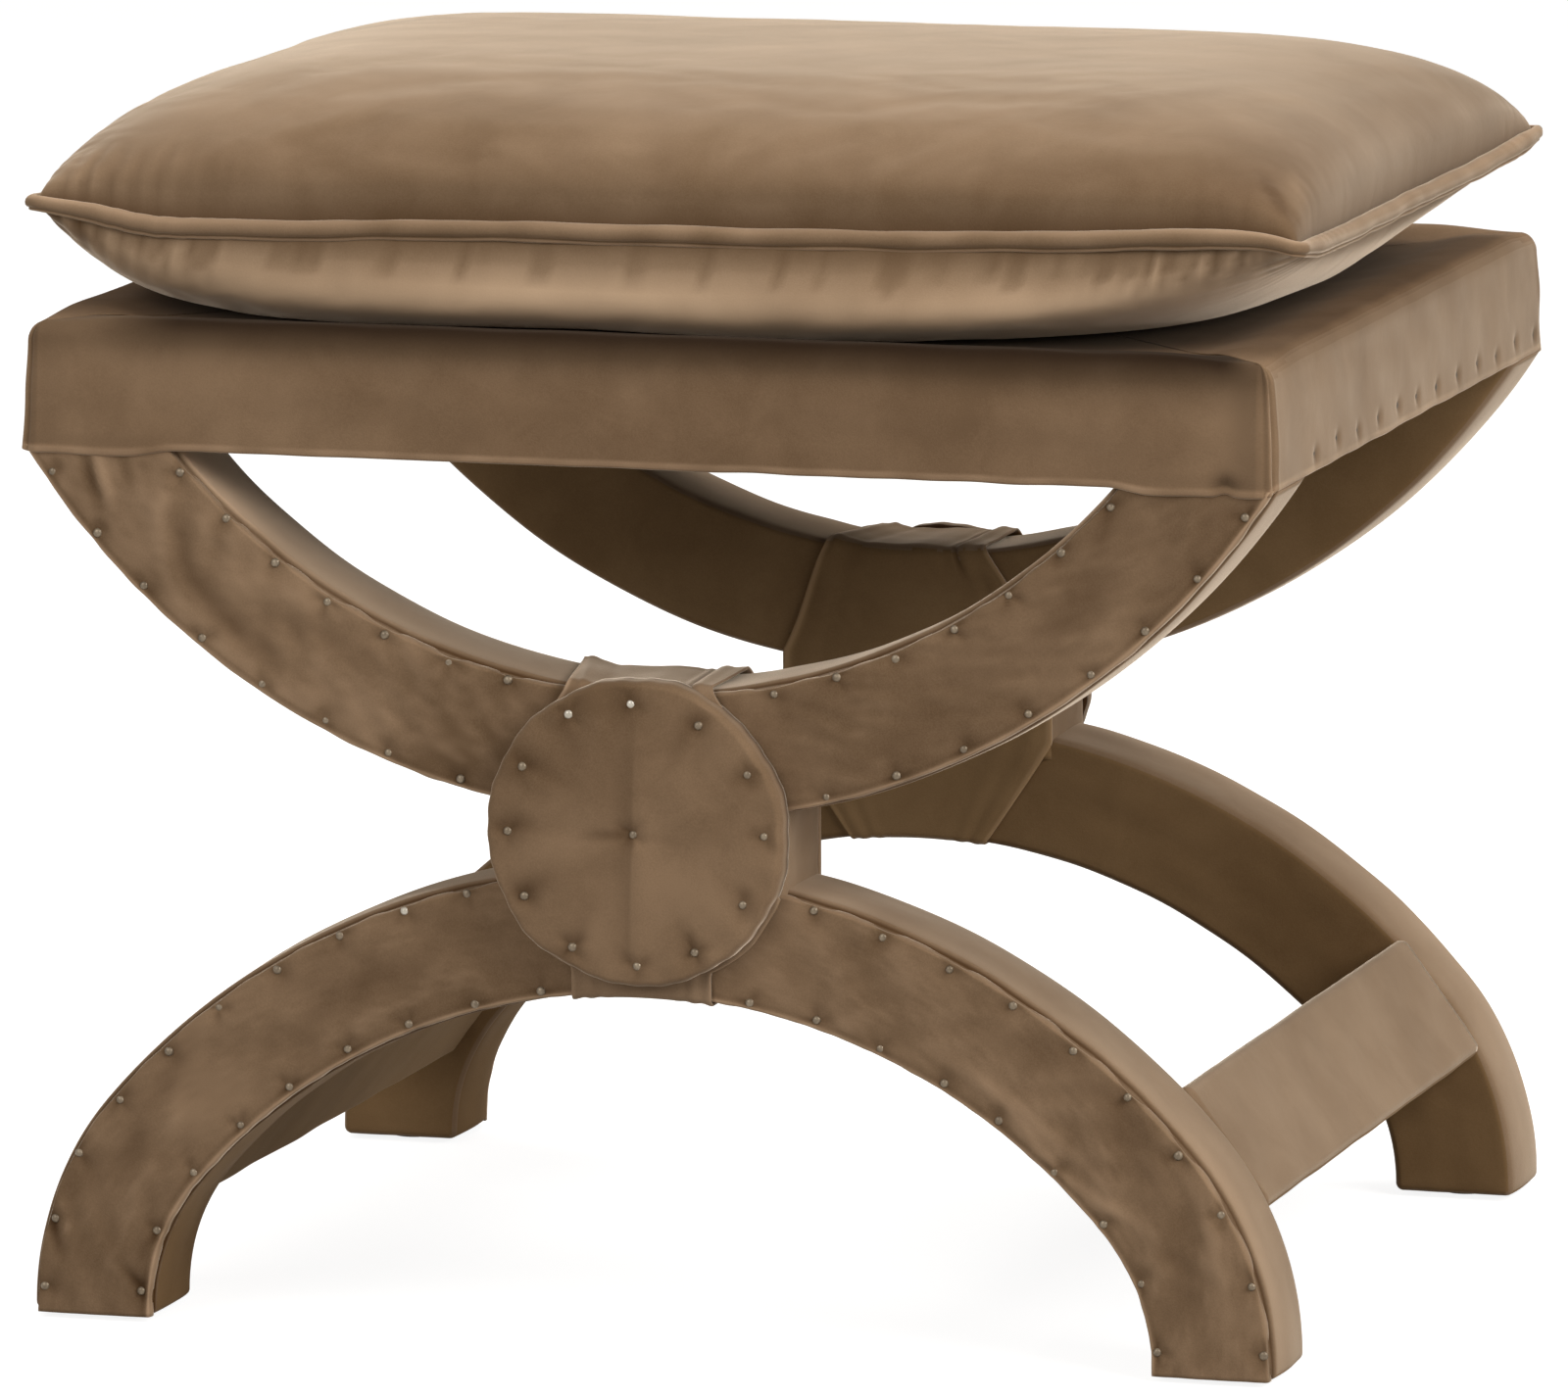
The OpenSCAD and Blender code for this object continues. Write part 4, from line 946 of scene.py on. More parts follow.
def medallion(seed, reach, nails):
    """The disc's cover, from its middle out over its edge: domed, creased, and drawn in by its nails, with
    painted shade and painted highlights.
    """
    turns = np.linspace(0, math.tau, DISC_TURNS, endpoint=False)[None, :]
    rng = np.random.default_rng(seed)
    flat = np.linspace(0.4 * MM, reach - RIM_ROUND, 46)
    arc = np.radians(np.linspace(0, 90, 8))
    depth = MEDALLION_BACK - MEDALLION_FRONT
    radii = np.concatenate([flat, reach - RIM_ROUND + RIM_ROUND * np.sin(arc[1:]),
                            np.full(4, reach), [reach - 2 * MM]])
    back = np.concatenate([0 * flat, RIM_ROUND * (1 - np.cos(arc[1:])),
                           np.linspace(RIM_ROUND, depth, 5)[1:], [depth + 0.4 * MM]])
    face = np.concatenate([0 * flat + 1, np.cos(arc[1:]), np.zeros(5)])
    radii, back, face = radii[:, None], back[:, None], face[:, None]
    uneven = sum(rng.uniform(0.3, 0.6) * np.cos(k * turns + rng.uniform(0, math.tau)) for k in (3, 5, 7, 9))
    edge = np.clip(radii / reach, 0, 1) ** 6
    scallops = 0.30 * np.cos(MEDALLION_NAILS * turns) + 0.45 * uneven + 0.16 * np.cos(37 * turns)
    radius = radii - edge * scallops * MM
    x, z = radius * np.sin(turns), radius * np.cos(turns)
    hold, _, gather = nail_pull(x, z, nails, seed + 1, 5 * MM, 5.5 * MM)
    share = np.clip(radii / (reach - RIM_ROUND), 0, 1)
    dome = NAIL_SINK + DOME * (1 - share ** 4) * (1 - hold) + 0.8 * MM * (1 - hold) * share ** 4
    upright = crease(x - 2.5 * MM, z, 6.5 * MM, 72 * MM)
    beside = x - 1.0 * MM - 0.03 * z
    along_fold = smooth_step(z, -60 * MM, -46 * MM) * (1 - smooth_step(z, 26 * MM, 50 * MM))
    # Painted shade left of the upright crease and a painted highlight right of it.
    drawn = np.where(beside < 0, 0.24, -0.17) * np.exp(-np.abs(beside) / (8 * MM)) * along_fold
    drawn = drawn * smooth_step(np.abs(beside), 0, 1.6 * MM)
    # A painted shade line along the level crease.
    crease_line_shade = stroke(x, z, ((-21, -1), (-10, -0.5), (-1, 0)), 2.6)
    crease_line_shade = crease_line_shade + 0.5 * stroke(x, z, ((2, 0), (12, -1.5), (22, -3)), 3.2)
    left_of = crease(x + 6 * MM, z, 6.5 * MM, 60 * MM)
    right_of = crease(x - 8 * MM, z, 7 * MM, 66 * MM)
    level = crease(z + 1 * MM, x + 6 * MM, 4.5 * MM, 34 * MM)
    streaks = 0 * x
    for sx, sz in nails[1:]:
        far = math.hypot(sx, sz)
        ux, uz = sx / far, sz / far
        inward = far - (x * ux + z * uz)
        aside = x * uz - z * ux - rng.uniform(-4, 4) * MM
        reach_in = rng.uniform(7, 17) * MM
        streak = rng.uniform(0.3, 1.25) ** 2 * bell(aside, 4.2 * MM)
        streaks += streak * bell(inward - 4 * MM, reach_in)
    rays = 0.30 * MM * np.cos(2 * MEDALLION_NAILS * turns + 1.1) * share ** 5
    out = face * (dome + 1.1 * MM * upright - 0.6 * MM * left_of - 0.5 * MM * level + rays + 0.7 * MM * gather
                  - 0.5 * MM * streaks + 0.4 * MM * ripple(x, z, seed + 2, 40 * MM))
    y = MEDALLION_FRONT + back - out
    # Painted shade round the nails, in the gathers' hollows and in the streaks below the ring's nails.
    painted_shading = face * np.clip(0.3 * hold + 0.34 * np.clip(-gather, 0, 1.2) + 0.38 * streaks + 0.06 * left_of
                          + drawn + 0.36 * crease_line_shade - 0.06 * right_of, -0.3, 0.75)
    # A painted highlight round the rim, and painted shade on the disc's side behind it.
    rim = bell(back - 0.9 * MM, 0.9 * MM) * (radii > reach - 2.2 * MM)
    painted_shading = painted_shading * (1 - rim) - 0.35 * rim
    painted_shading = np.maximum(painted_shading, 0.9 * (face < 0.01) * smooth_step(back, 0.5 * depth, 0.8 * depth))
    return {"points": np.stack([x, y, z + MEDALLION_Z], -1), "painted_shading": painted_shading}


def medallion_spots(reach, seed):
    """The middle nail, then the ring's nails, each a little off its mark."""
    rng = np.random.default_rng(seed)
    spots = [(0.0, 0.0)]
    for a in np.linspace(0, math.tau, MEDALLION_NAILS, endpoint=False):
        ring = reach - MEDALLION_NAIL_INSET + rng.uniform(0.2, 2.2) * MM
        turn = a + rng.uniform(-0.03, 0.03)
        spots.append((ring * math.sin(turn), ring * math.cos(turn)))
    return spots


def build_hubs():
    """The band, the medallion and its nail heads on both frames."""
    for end, seed, reach, drop in (("front", 301, COVER_R, 0), ("back", 331, BACK_COVER_R, BACK_DROP)):
        nails = medallion_spots(reach, seed + 5)
        band, side, disc = hub_band(seed), hub_side(seed + 1), medallion(seed + 2, reach, nails)
        disc["points"][..., 2] -= drop
        if end == "back":
            band, side, disc = flip(band), flip(side), flip(disc)
        hub = build(f"{end}_hub_band", [band, side], VELVET_BAND,
                    replaces=[f"{end}_hub_wrap", f"{end}_hub_wadding"], second=VELVET_PAINTED_SHADE)
        shade_inner(hub, end)
        build(f"{end}_medallion", [disc], VELVET_FACE,
              replaces=[f"{end}_medallion_cover", f"{end}_medallion_wadding"])
        spots = [(x, MEDALLION_FRONT - NAIL_SINK, z + MEDALLION_Z - drop) for x, z in nails]
        build_nails(f"{end}_medallion_nail_heads", spots, end, seed + 9, f"{end}_medallion_nails")


# Stretchers

def build_stretchers():
    """The two covered bars between the frames, with a deeper shade on their undersides."""
    for side, name in ((-1, "left"), (1, "right")):
        low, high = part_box(f"{name}_stretcher_cover")
        centre = ((low.x + high.x) / 2, (low.z + high.z) / 2)
        loop = rounded_loop(-STRETCHER_W / 2, STRETCHER_W / 2, -STRETCHER_T / 2, STRETCHER_T / 2,
                            4.5 * MM, 2.6 * MM, 6)
        a, b, da, db = (loop[None, :, k] for k in range(4))
        y = np.linspace(low.y - 1.2 * MM, high.y + 1.2 * MM, 130)[:, None]
        out = 0.25 * MM * ripple(y, 2 * a + b, 401 + side, 60 * MM)
        a, b = a + da * out, b + db * out
        turn = side * (STRETCHER_TILT - math.pi / 2)
        x = centre[0] + a * math.cos(turn) - b * math.sin(turn)
        z = centre[1] + a * math.sin(turn) + b * math.cos(turn)
        grid = np.stack([x, y + 0 * x, z], -1)
        cover = build(f"{name}_stretcher", [{"points": grid}], VELVET_BAND, second=VELVET_PAINTED_SHADE,
                      replaces=[f"{name}_stretcher_cover", f"{name}_stretcher_wadding"])
        for face in cover.data.polygons:
            face.material_index = int(face.normal.z < -0.2 and face.normal.x * side < 0.9)


# Deck

DECK_ROUND = 7.5 * MM
DECK_CORNER = 8 * MM
HEM_ROUND = 1.3 * MM
DISH = 1.6 * MM
DECK_PAD = 2.2 * MM
HEM_UP = 8 * MM
HEM_FRONT = 67 * MM
HEM_BACK = 18 * MM
HEM_PITCH = 33.5 * MM
NOTCH_X = 248 * MM
DECK_STEP = 2.2 * MM
TIGHTEST_CORNER = 1.5 * MM
# The rounded patch of the deck's top under the cushion where the cushion's painted shadow is darkest.
DARK_HALF_W = 129 * MM
DARK_HALF_D = 101 * MM
DARK_ROUND = 95 * MM
# Limits of the deck's painted shading, and where its less shiny velvet copies begin: by depth below the top
# at the front and back, by slope on the sides.
DECK_TONE_RANGE = (-0.6, 0.97)
SHEEN_FADES_BY_DEPTH = (18 * MM, 13 * MM, 9 * MM)
SHEEN_FADES_BY_SLOPE = (0.35, 0.6, 0.8)


def hem_spots():
    """The nails along the deck's two sides: (side, y, z)."""
    start, stop = -DECK_HALF_D + HEM_FRONT, DECK_HALF_D - HEM_BACK
    rng = np.random.default_rng(520)
    spots = []
    for side in (-1, 1):
        for y in np.linspace(start, stop, round((stop - start) / HEM_PITCH) + 1):
            along = float(y + rng.uniform(-2, 2) * MM)
            spots.append((side, along, float(DECK_UNDER + HEM_UP + rng.uniform(-1, 1) * MM)))
    return spots


def deck_loop(step):
    """Corner-centre points and normals round the deck, so that loops can be drawn in from its edge."""
    x, y, nx, ny = rounded_loop(-HALF_W, HALF_W, -DECK_HALF_D, DECK_HALF_D, DECK_CORNER, step, 25).T
    return x - DECK_CORNER * nx, y - DECK_CORNER * ny, nx, ny


def hem_sag(x, y, ny):
    """How far the hem hangs below the deck's underside: lower over the arms' tops."""
    over_left = smooth_step(-x, 200 * MM, 222 * MM)
    over_right = smooth_step(x, 198 * MM, 217 * MM)
    notch = bell(x - NOTCH_X, 3.2 * MM)
    front = smooth_step(-ny, 0.2, 0.9) * (2.9 * over_left + 2.3 * over_right - 1.6 * notch)
    back = smooth_step(ny, 0.2, 0.9) * 2.2 * (over_left + over_right)
    return (0.7 + front + back) * MM + 0.25 * MM * ripple(x, y, 511, 45 * MM)


def deck_levels():
    """Loops from inside the hem, round it, up the side and over the top: (in, up, side, hem, sag)."""
    height = DECK_TOP - DECK_UNDER
    levels = [(16 * MM, 9 * MM, 0, 0, 0), (13 * MM, 0.2 * MM, 0, 0, 0), (9 * MM, -0.1 * MM, 0, 0, 0),
              (5 * MM, -0.1 * MM, 0, 0.2, 0.2), (2.6 * MM, 0.0, 0, 0.8, 0.8)]
    levels += [(HEM_ROUND * (1 - math.sin(a)), HEM_ROUND * (1 - math.cos(a)), math.sin(a), 1, 1)
               for a in np.radians([0, 22, 45, 67, 90])]
    near_hem, above = np.linspace(HEM_ROUND, 14 * MM, 11), np.linspace(14 * MM, height - DECK_ROUND, 14)
    for h in np.concatenate([near_hem[1:], above[1:]]):
        near = float(np.exp(-(h - HEM_ROUND) / (11 * MM)))
        levels.append((0, h, 1, near, near))
    levels += [(DECK_ROUND * (1 - math.cos(a)), height - DECK_ROUND * (1 - math.sin(a)), math.cos(a), 0, 0)
               for a in np.radians(np.linspace(0, 90, 9))[1:]]
    levels += [(d * MM, height, 0, 0, 0) for d in (9, 11, 14, 18, 23, 29, 36, 45, 56, 70, 90)]
    return levels


def build_deck():
    """The deck's cover with its padding: corner seams, a nailed hem that hangs, and a dished top, with the
    cushion's shadow and the seams' and hem's shade and highlights painted on.
    """
    cx, cy, nx, ny = (v[None, :] for v in deck_loop(DECK_STEP))
    height = DECK_TOP - DECK_UNDER
    steps = np.hypot(np.diff(cx[0] + DECK_CORNER * nx[0]), np.diff(cy[0] + DECK_CORNER * ny[0]))
    around = np.concatenate([[0], np.cumsum(steps)])[None, :]
    turn = np.abs(nx) - np.abs(ny)
    ridge = bell(turn, 0.085)
    groove = bell(np.abs(turn) - 0.30, 0.14)
    pull = bell(np.abs(turn) - 0.9, 0.2)
    in_front = smooth_step(-ny, 0.3, 0.9)
    nails = hem_spots()
    rows, folds = [], []
    for d, h, side, hem, sag in deck_levels():
        r = max(DECK_CORNER - d, TIGHTEST_CORNER)
        shrink = max(d - (DECK_CORNER - TIGHTEST_CORNER), 0)
        px = cx * (1 - shrink / (HALF_W - DECK_CORNER)) + r * nx
        py = cy * (1 - shrink / (DECK_HALF_D - DECK_CORNER)) + r * ny
        drop = hem_sag(px, py, ny) * sag
        on_arm = smooth_step(np.abs(px), 190 * MM, 215 * MM) * smooth_step(np.abs(ny), 0.2, 0.9)
        soft = 0.35 * MM * ripple(around, h * 2.2, 501, 80 * MM) + 0.05 * MM * ripple(around, h, 502, 26 * MM)
        streak = ripple(around, 0.3 * h, 505, 17 * MM) * np.exp(-h / (13 * MM))
        top_only = (1 - side) * (h > 12 * MM)
        dimple, slit = 0 * px, 0 * px
        for sx, sy, sz in nails:
            dy, dz = py - sy, DECK_UNDER + h - sz
            near = (sx * nx > 0.5) * side
            dimple = dimple + near * np.exp(-(dy ** 2 + dz ** 2) / (3.2 * MM) ** 2)
            slit = slit + near * np.exp(-(dy / (1.6 * MM)) ** 2 - (dz / (3.0 * MM)) ** 2)
        notch = np.exp(-((px - NOTCH_X) / (5 * MM)) ** 2 - ((h - 4 * MM) / (4 * MM)) ** 2)
        notch = side * notch * (ny < -0.5)
        seam = 1.1 * ridge - 0.6 * groove + 0.3 * pull
        taper = 1.8 * MM * smooth_step(h, 22 * MM, height)
        turned_hem = hem * (0.7 + 1.3 * on_arm) * MM * max(side, 0.35 * hem)
        proud = side * (soft + seam * MM + 0.02 * MM * streak) + turned_hem
        proud = proud - 1.1 * MM * dimple - 1.3 * MM * notch - taper
        from_x, from_y = HALF_W - np.abs(px), DECK_HALF_D - np.abs(py)
        inside = smooth_step(from_x, 18 * MM, 44 * MM) * smooth_step(from_y, 14 * MM, 30 * MM)
        between = smooth_step(np.maximum(from_x, from_y), 6 * MM, 48 * MM)
        over = smooth_step(h, height - 9 * MM, height)
        past_x = np.clip(np.abs(px + 4 * MM) - DARK_HALF_W, 0, None)
        past_y = np.clip(np.abs(py + 6 * MM) - DARK_HALF_D, 0, None)
        past = np.clip(np.hypot(past_x, past_y) - DARK_ROUND, 0, None)
        uneven = 0.3 * MM * ripple(px, py, 503, 60 * MM) * (1 - inside)
        lift = top_only * (uneven - (DISH + 0.2 * MM) * inside)
        lift = lift + over * DECK_PAD * between * (1 - inside)
        pz = DECK_UNDER + h - drop + lift + 0 * px
        rows.append(np.stack([px + nx * proud, py + ny * proud, pz], -1)[0])
        # Painted shade in the seam's grooves, the hem nails' slits, the notch and over the hem on the arms;
        # painted highlights on the seam's ridge and along the hem's edge.
        hem_edge = float(h < 2.2 * HEM_ROUND) * side
        over_hem = side * math.exp(-((h - 5 * MM) / (2.6 * MM)) ** 2)
        by_seam = 0.10 * groove * (turn > 0) + 0.20 * groove * (turn < 0) - 0.36 * ridge
        painted_shading = side * by_seam + 0.85 * slit + 0.5 * notch
        painted_shading = painted_shading - (0.26 + 0.16 * ripple(around, 0, 507, 30 * MM)) * hem_edge + 0.10 * over_hem * on_arm
        # The cushion's painted shadow over the deck's top, and a painted shadow strip down the front just
        # under the cushion.
        shadow = 0.62 * np.exp(-(past / (21 * MM)) ** 1.5) + 0.08
        reach_in = np.where(px < 0, 0.42 + 0.58 * smooth_step(from_x, 15 * MM, 70 * MM),
                            0.55 + 0.45 * smooth_step(from_x, 8 * MM, 24 * MM))
        strip = 0.96 * in_front * reach_in * math.exp(-(max(height - h, 0) / (10.0 * MM)) ** 1.7)
        strip = strip * (1 - smooth_step(from_y, 16 * MM, 52 * MM))
        painted_shading = painted_shading + np.maximum(over * shadow, strip)
        # Painted shade beside the front corner seams.
        beside_seam = in_front * side * bell(from_x - 11 * MM, 8 * MM)
        painted_shading = painted_shading + beside_seam * np.where(px > 0, 0.24, 0.10)
        folds.append((np.clip(painted_shading, *DECK_TONE_RANGE) + 0 * px)[0])
    deck = build("deck_upholstery", [{"points": np.stack(rows), "painted_shading": np.stack(folds)}], VELVET_DECK,
                 replaces=["deck_cover", "deck_foam"])
    # Less sheen towards the top, standing in for the cushion's shade there, partly the crushed pile.
    for step in VELVET_DECK_STEPS:
        deck.data.materials.append(step)
    for face in deck.data.polygons:
        down, up = DECK_TOP - face.center.z, face.normal.z
        if abs(face.normal.y) > abs(face.normal.x) and down < SHEEN_FADES_BY_DEPTH[0]:
            face.material_index = sum(down < limit for limit in SHEEN_FADES_BY_DEPTH)
        elif down < DECK_ROUND:
            face.material_index = sum(up > limit for limit in SHEEN_FADES_BY_SLOPE)
    spots = [(side * (HALF_W - 1.2 * MM), y, z) for side, y, z in nails]
    build_nails("hem_nail_heads", spots, "sides", 521, "hem_nails", material=NAIL_DARK)


DUST_CUT_X = 200.3 * MM
DUST_SAG = 3.2 * MM


def dust_places(low, cut, high, outside, between):
    """Places from edge to edge, with one on each of the two cuts."""
    return np.unique(np.concatenate([np.linspace(low, -cut, outside), np.linspace(-cut, cut, between),
                                     np.linspace(cut, high, outside)]))


def build_dust_cover():
    """The thin cloth under the deck, cut out at its corners for the arches' tops."""
    low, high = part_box("dust_cover")
    arm_x, arm_y = DUST_CUT_X, -INNER_Y - VELVET_T
    xs = dust_places(low.x, arm_x, high.x, 9, 60)
    ys = dust_places(low.y, arm_y, high.y, 7, 50)
    gx, gy = np.meshgrid(xs, ys, indexing="ij")
    sag = DUST_SAG * np.cos(math.pi / 2 * np.clip(np.abs(gx) / high.x, 0, 1))
    sag = sag * np.cos(math.pi / 2 * np.clip(np.abs(gy) / high.y, 0, 1))
    creases = 0.35 * MM * ripple(gx, gy, 601, 70 * MM)
    z = high.z - 0.3 * MM - sag + creases * (sag / DUST_SAG)
    points = np.stack([gx, gy, z], -1).reshape(-1, 3)
    faces = []
    for i in range(len(xs) - 1):
        for j in range(len(ys) - 1):
            mid_x, mid_y = abs(xs[i] + xs[i + 1]) / 2, abs(ys[j] + ys[j + 1]) / 2
            if mid_x < arm_x or mid_y < arm_y:
                k = i * len(ys) + j
                faces.append((k, k + 1, k + len(ys) + 1, k + len(ys)))
    used = sorted({v for f in faces for v in f})
    number = {v: i for i, v in enumerate(used)}
    mesh = new_mesh("dust_cover_cloth", points[used].tolist(), [tuple(number[v] for v in f) for f in faces])
    mesh.materials.append(CAMBRIC)
    obj = linked("dust_cover_cloth", mesh)
    thick = obj.modifiers.new("thickness", "SOLIDIFY")
    thick.thickness = 0.5 * MM
    declare(obj, "base", ["dust_cover"])


# Cushion

CUSHION_HALF_W = HALF_W + 3 * MM
CUSHION_HALF_D = DECK_HALF_D - 28 * MM
SEAM_Z = DECK_TOP + 42 * MM
CORNER_LIFT = 4 * MM
CROWN_T = 57.2 * MM
SIDE_PINCH = 6 * MM
FRONT_PINCH = 4 * MM
BELLY_Z = DECK_TOP - 1.2 * MM
CELLS_W = 148
CELLS_D = 108
MOST_MOVE = 7 * MM
GATHERS_END = 82 * MM
SIM_SHARE = 0.10
SIM_BY_SEAM = 0.26
SIM_STEPS = 20
PIPING_STEPS = 720
# Limits of the painted shading on the crown and the underside, and the painted shade along the seam.
CROWN_TONES = (-0.34, 0.62)
BELLY_TONES = (-0.6, 0.8)
SEAM_PAINTED_SHADE = 0.6

# The seam's height along the front, in mm, from left to right
SEAM_AT = (-1.0, -0.91, -0.82, -0.7, -0.6, -0.42, -0.24, 0, 0.2, 0.35, 0.51, 0.66, 0.81, 0.9, 0.96, 1.0)
SEAM_OFF = (0.6, -1.7, -5.0, -4.9, -4.4, -2.4, -1.4, -0.8, -0.6, -0.2, 1.0, 2.1, 3.2, 3.2, 1.5, -1.5)
# How full the front is under the seam, on the way down to the deck
BELLY_AT = (0, 0.08, 0.2, 0.35, 0.5, 0.7, 0.85, 0.95, 1.0)
BELLY_OUT = (0, -0.08, 0.02, 0.35, 0.65, 0.93, 1.0, 0.88, 0.66)


def cushion_spread(count):
    """Places from -1 to 1, closer together towards the seam."""
    even = np.linspace(-1, 1, count + 1)
    return 0.45 * np.sin(math.pi / 2 * even) + 0.55 * even


def cushion_shares():
    """The shares from -1 to 1, left to right and front to back, of each point of a cushion panel."""
    return np.meshgrid(cushion_spread(CELLS_W), cushion_spread(CELLS_D), indexing="ij")


def cushion_plan(u, v):
    """The seam's outline in plan, with its sides drawn in."""
    return (u * (CUSHION_HALF_W - SIDE_PINCH * (1 - v ** 2)),
            v * (CUSHION_HALF_D - FRONT_PINCH * (1 - u ** 2)))


def puff(u, v, power_u, power_v, roundness):
    """Fullness over a panel: 1 in the middle and 0 at the seam."""
    return ((1 - np.abs(u) ** power_u) * (1 - np.abs(v) ** power_v)) ** roundness


def eased(x, places, values):
    """A smooth curve through points."""
    places, values = np.array(places, float), np.array(values, float)
    slopes = np.gradient(values, places)
    i = np.clip(np.searchsorted(places, x) - 1, 0, len(places) - 2)
    gap = places[i + 1] - places[i]
    t = np.clip((x - places[i]) / gap, 0, 1)
    return ((1 + 2 * t) * (1 - t) ** 2 * values[i] + t * (1 - t) ** 2 * gap * slopes[i]
            + t ** 2 * (3 - 2 * t) * values[i + 1] + t ** 2 * (t - 1) * gap * slopes[i + 1])


def seam_gathers(u, v, x, y, seed):
    """Small gathers that run in from the seam, close and deep by the corners, wide and faint between."""
    from_front, from_side = (1 - np.abs(v)) * CUSHION_HALF_D, (1 - np.abs(u)) * CUSHION_HALF_W
    rise = smooth_step(np.minimum(from_front, from_side), 0, 8 * MM)

    def along(place, inward, end, number):
        near = bell(end, 56 * MM)
        close = ripple(place + 0.3 * inward, 0 * place, number, 10 * MM) * near * np.exp(-inward / (19 * MM))
        wide = 0.35 * ripple(place + 0.2 * inward, 0 * place, number + 50, 30 * MM) * (1 - near)
        wide = wide * np.exp(-inward / (20 * MM))
        return (close + wide) * smooth_step(end, 2 * MM, 12 * MM)

    return rise * (along(x, from_front, from_side, seed) + along(y, from_side, from_front, seed + 1))


def corner_gathers(x, y, u, v, seed):
    """Short folds that run in from the seam next to each corner, and the ridges between, from 0 to 1."""
    rng = np.random.default_rng(seed)
    from_side, from_front = CUSHION_HALF_W - np.abs(x), CUSHION_HALF_D - np.abs(y)
    pinch, ridge = 0 * x, 0 * x
    for along, inward in ((from_side, from_front), (from_front, from_side)):
        for right in (False, True):
            for front in (False, True):
                here = ((u > 0) == right) & ((v < 0) == front)
                at = rng.uniform(9, 13) * MM
                while at < GATHERS_END:
                    wide, deep = rng.uniform(1.9, 2.8) * MM, rng.uniform(9, 19) * MM
                    strong = rng.uniform(0.5, 1.0) * (1 - 0.7 * at / GATHERS_END)
                    away = along - at - 0.25 * inward
                    fade = bell(inward, deep) * smooth_step(inward, 0, 3 * MM) * here
                    pinch = pinch + strong * bell(away, wide) * fade
                    ridge = ridge + strong * bell(away - 4.2 * MM, wide) * fade
                    at += rng.uniform(7.0, 11.5) * MM
    return pinch, ridge


def cushion_crown(u, v, x, y, seam, ease_u, ease_v):
    """The top panel's points and its painted shading."""
    rise = puff(u, v, 7.0 + 0.5 * u, 3.5, 0.402)
    bulge = 6.4 * MM * np.sin(math.pi * np.clip(rise, 0, 1))
    calm = 1 - 0.72 * smooth_step(u, 0.2, 0.75)
    gathers = calm * seam_gathers(u, v, x, y, 811)
    pinch, ridge = (calm * part for part in corner_gathers(x, y, u, v, 815))
    z = seam + (SEAM_Z - seam) * rise + rise * CROWN_T + (0.9 * gathers + 1.0 * ridge - 1.5 * pinch) * MM
    points = np.stack([x + np.sign(u) * ease_u * bulge, y + np.sign(v) * ease_v * bulge, z], -1)
    # Painted shade on the front slope and towards the right end, in the gathers' hollows and the pinches;
    # painted highlights on their ridges and by the front seam; a dark and a light painted stroke by the right
    # front corner.
    in_front = smooth_step(-v, 0.1, 0.6)
    slope = bell(rise - 0.47, 0.20) * in_front
    tones = (0.05 * ripple(x, y, 833, 60 * MM) - 0.10 * (1 - smooth_step(rise, 0, 0.3)) * in_front
             + (0.11 + 0.06 * smooth_step(u, 0, 0.6)) * slope * (1 - smooth_step(u, 0.93, 0.99))
             + 0.27 * smooth_step(u, 0.78, 0.93) * (1 - smooth_step(rise, 0.72, 0.95))
             + 0.30 * np.clip(-gathers, 0, 1) - 0.12 * np.clip(gathers, 0, 1) + 0.46 * pinch - 0.20 * ridge)
    tones = tones + 0.45 * stroke(x, y, ((266, -193), (258, -186), (248, -175)), 3.0)
    tones = tones - 0.24 * stroke(x, y, ((268, -184), (262, -172), (256, -160)), 3.5)
    return points, tones


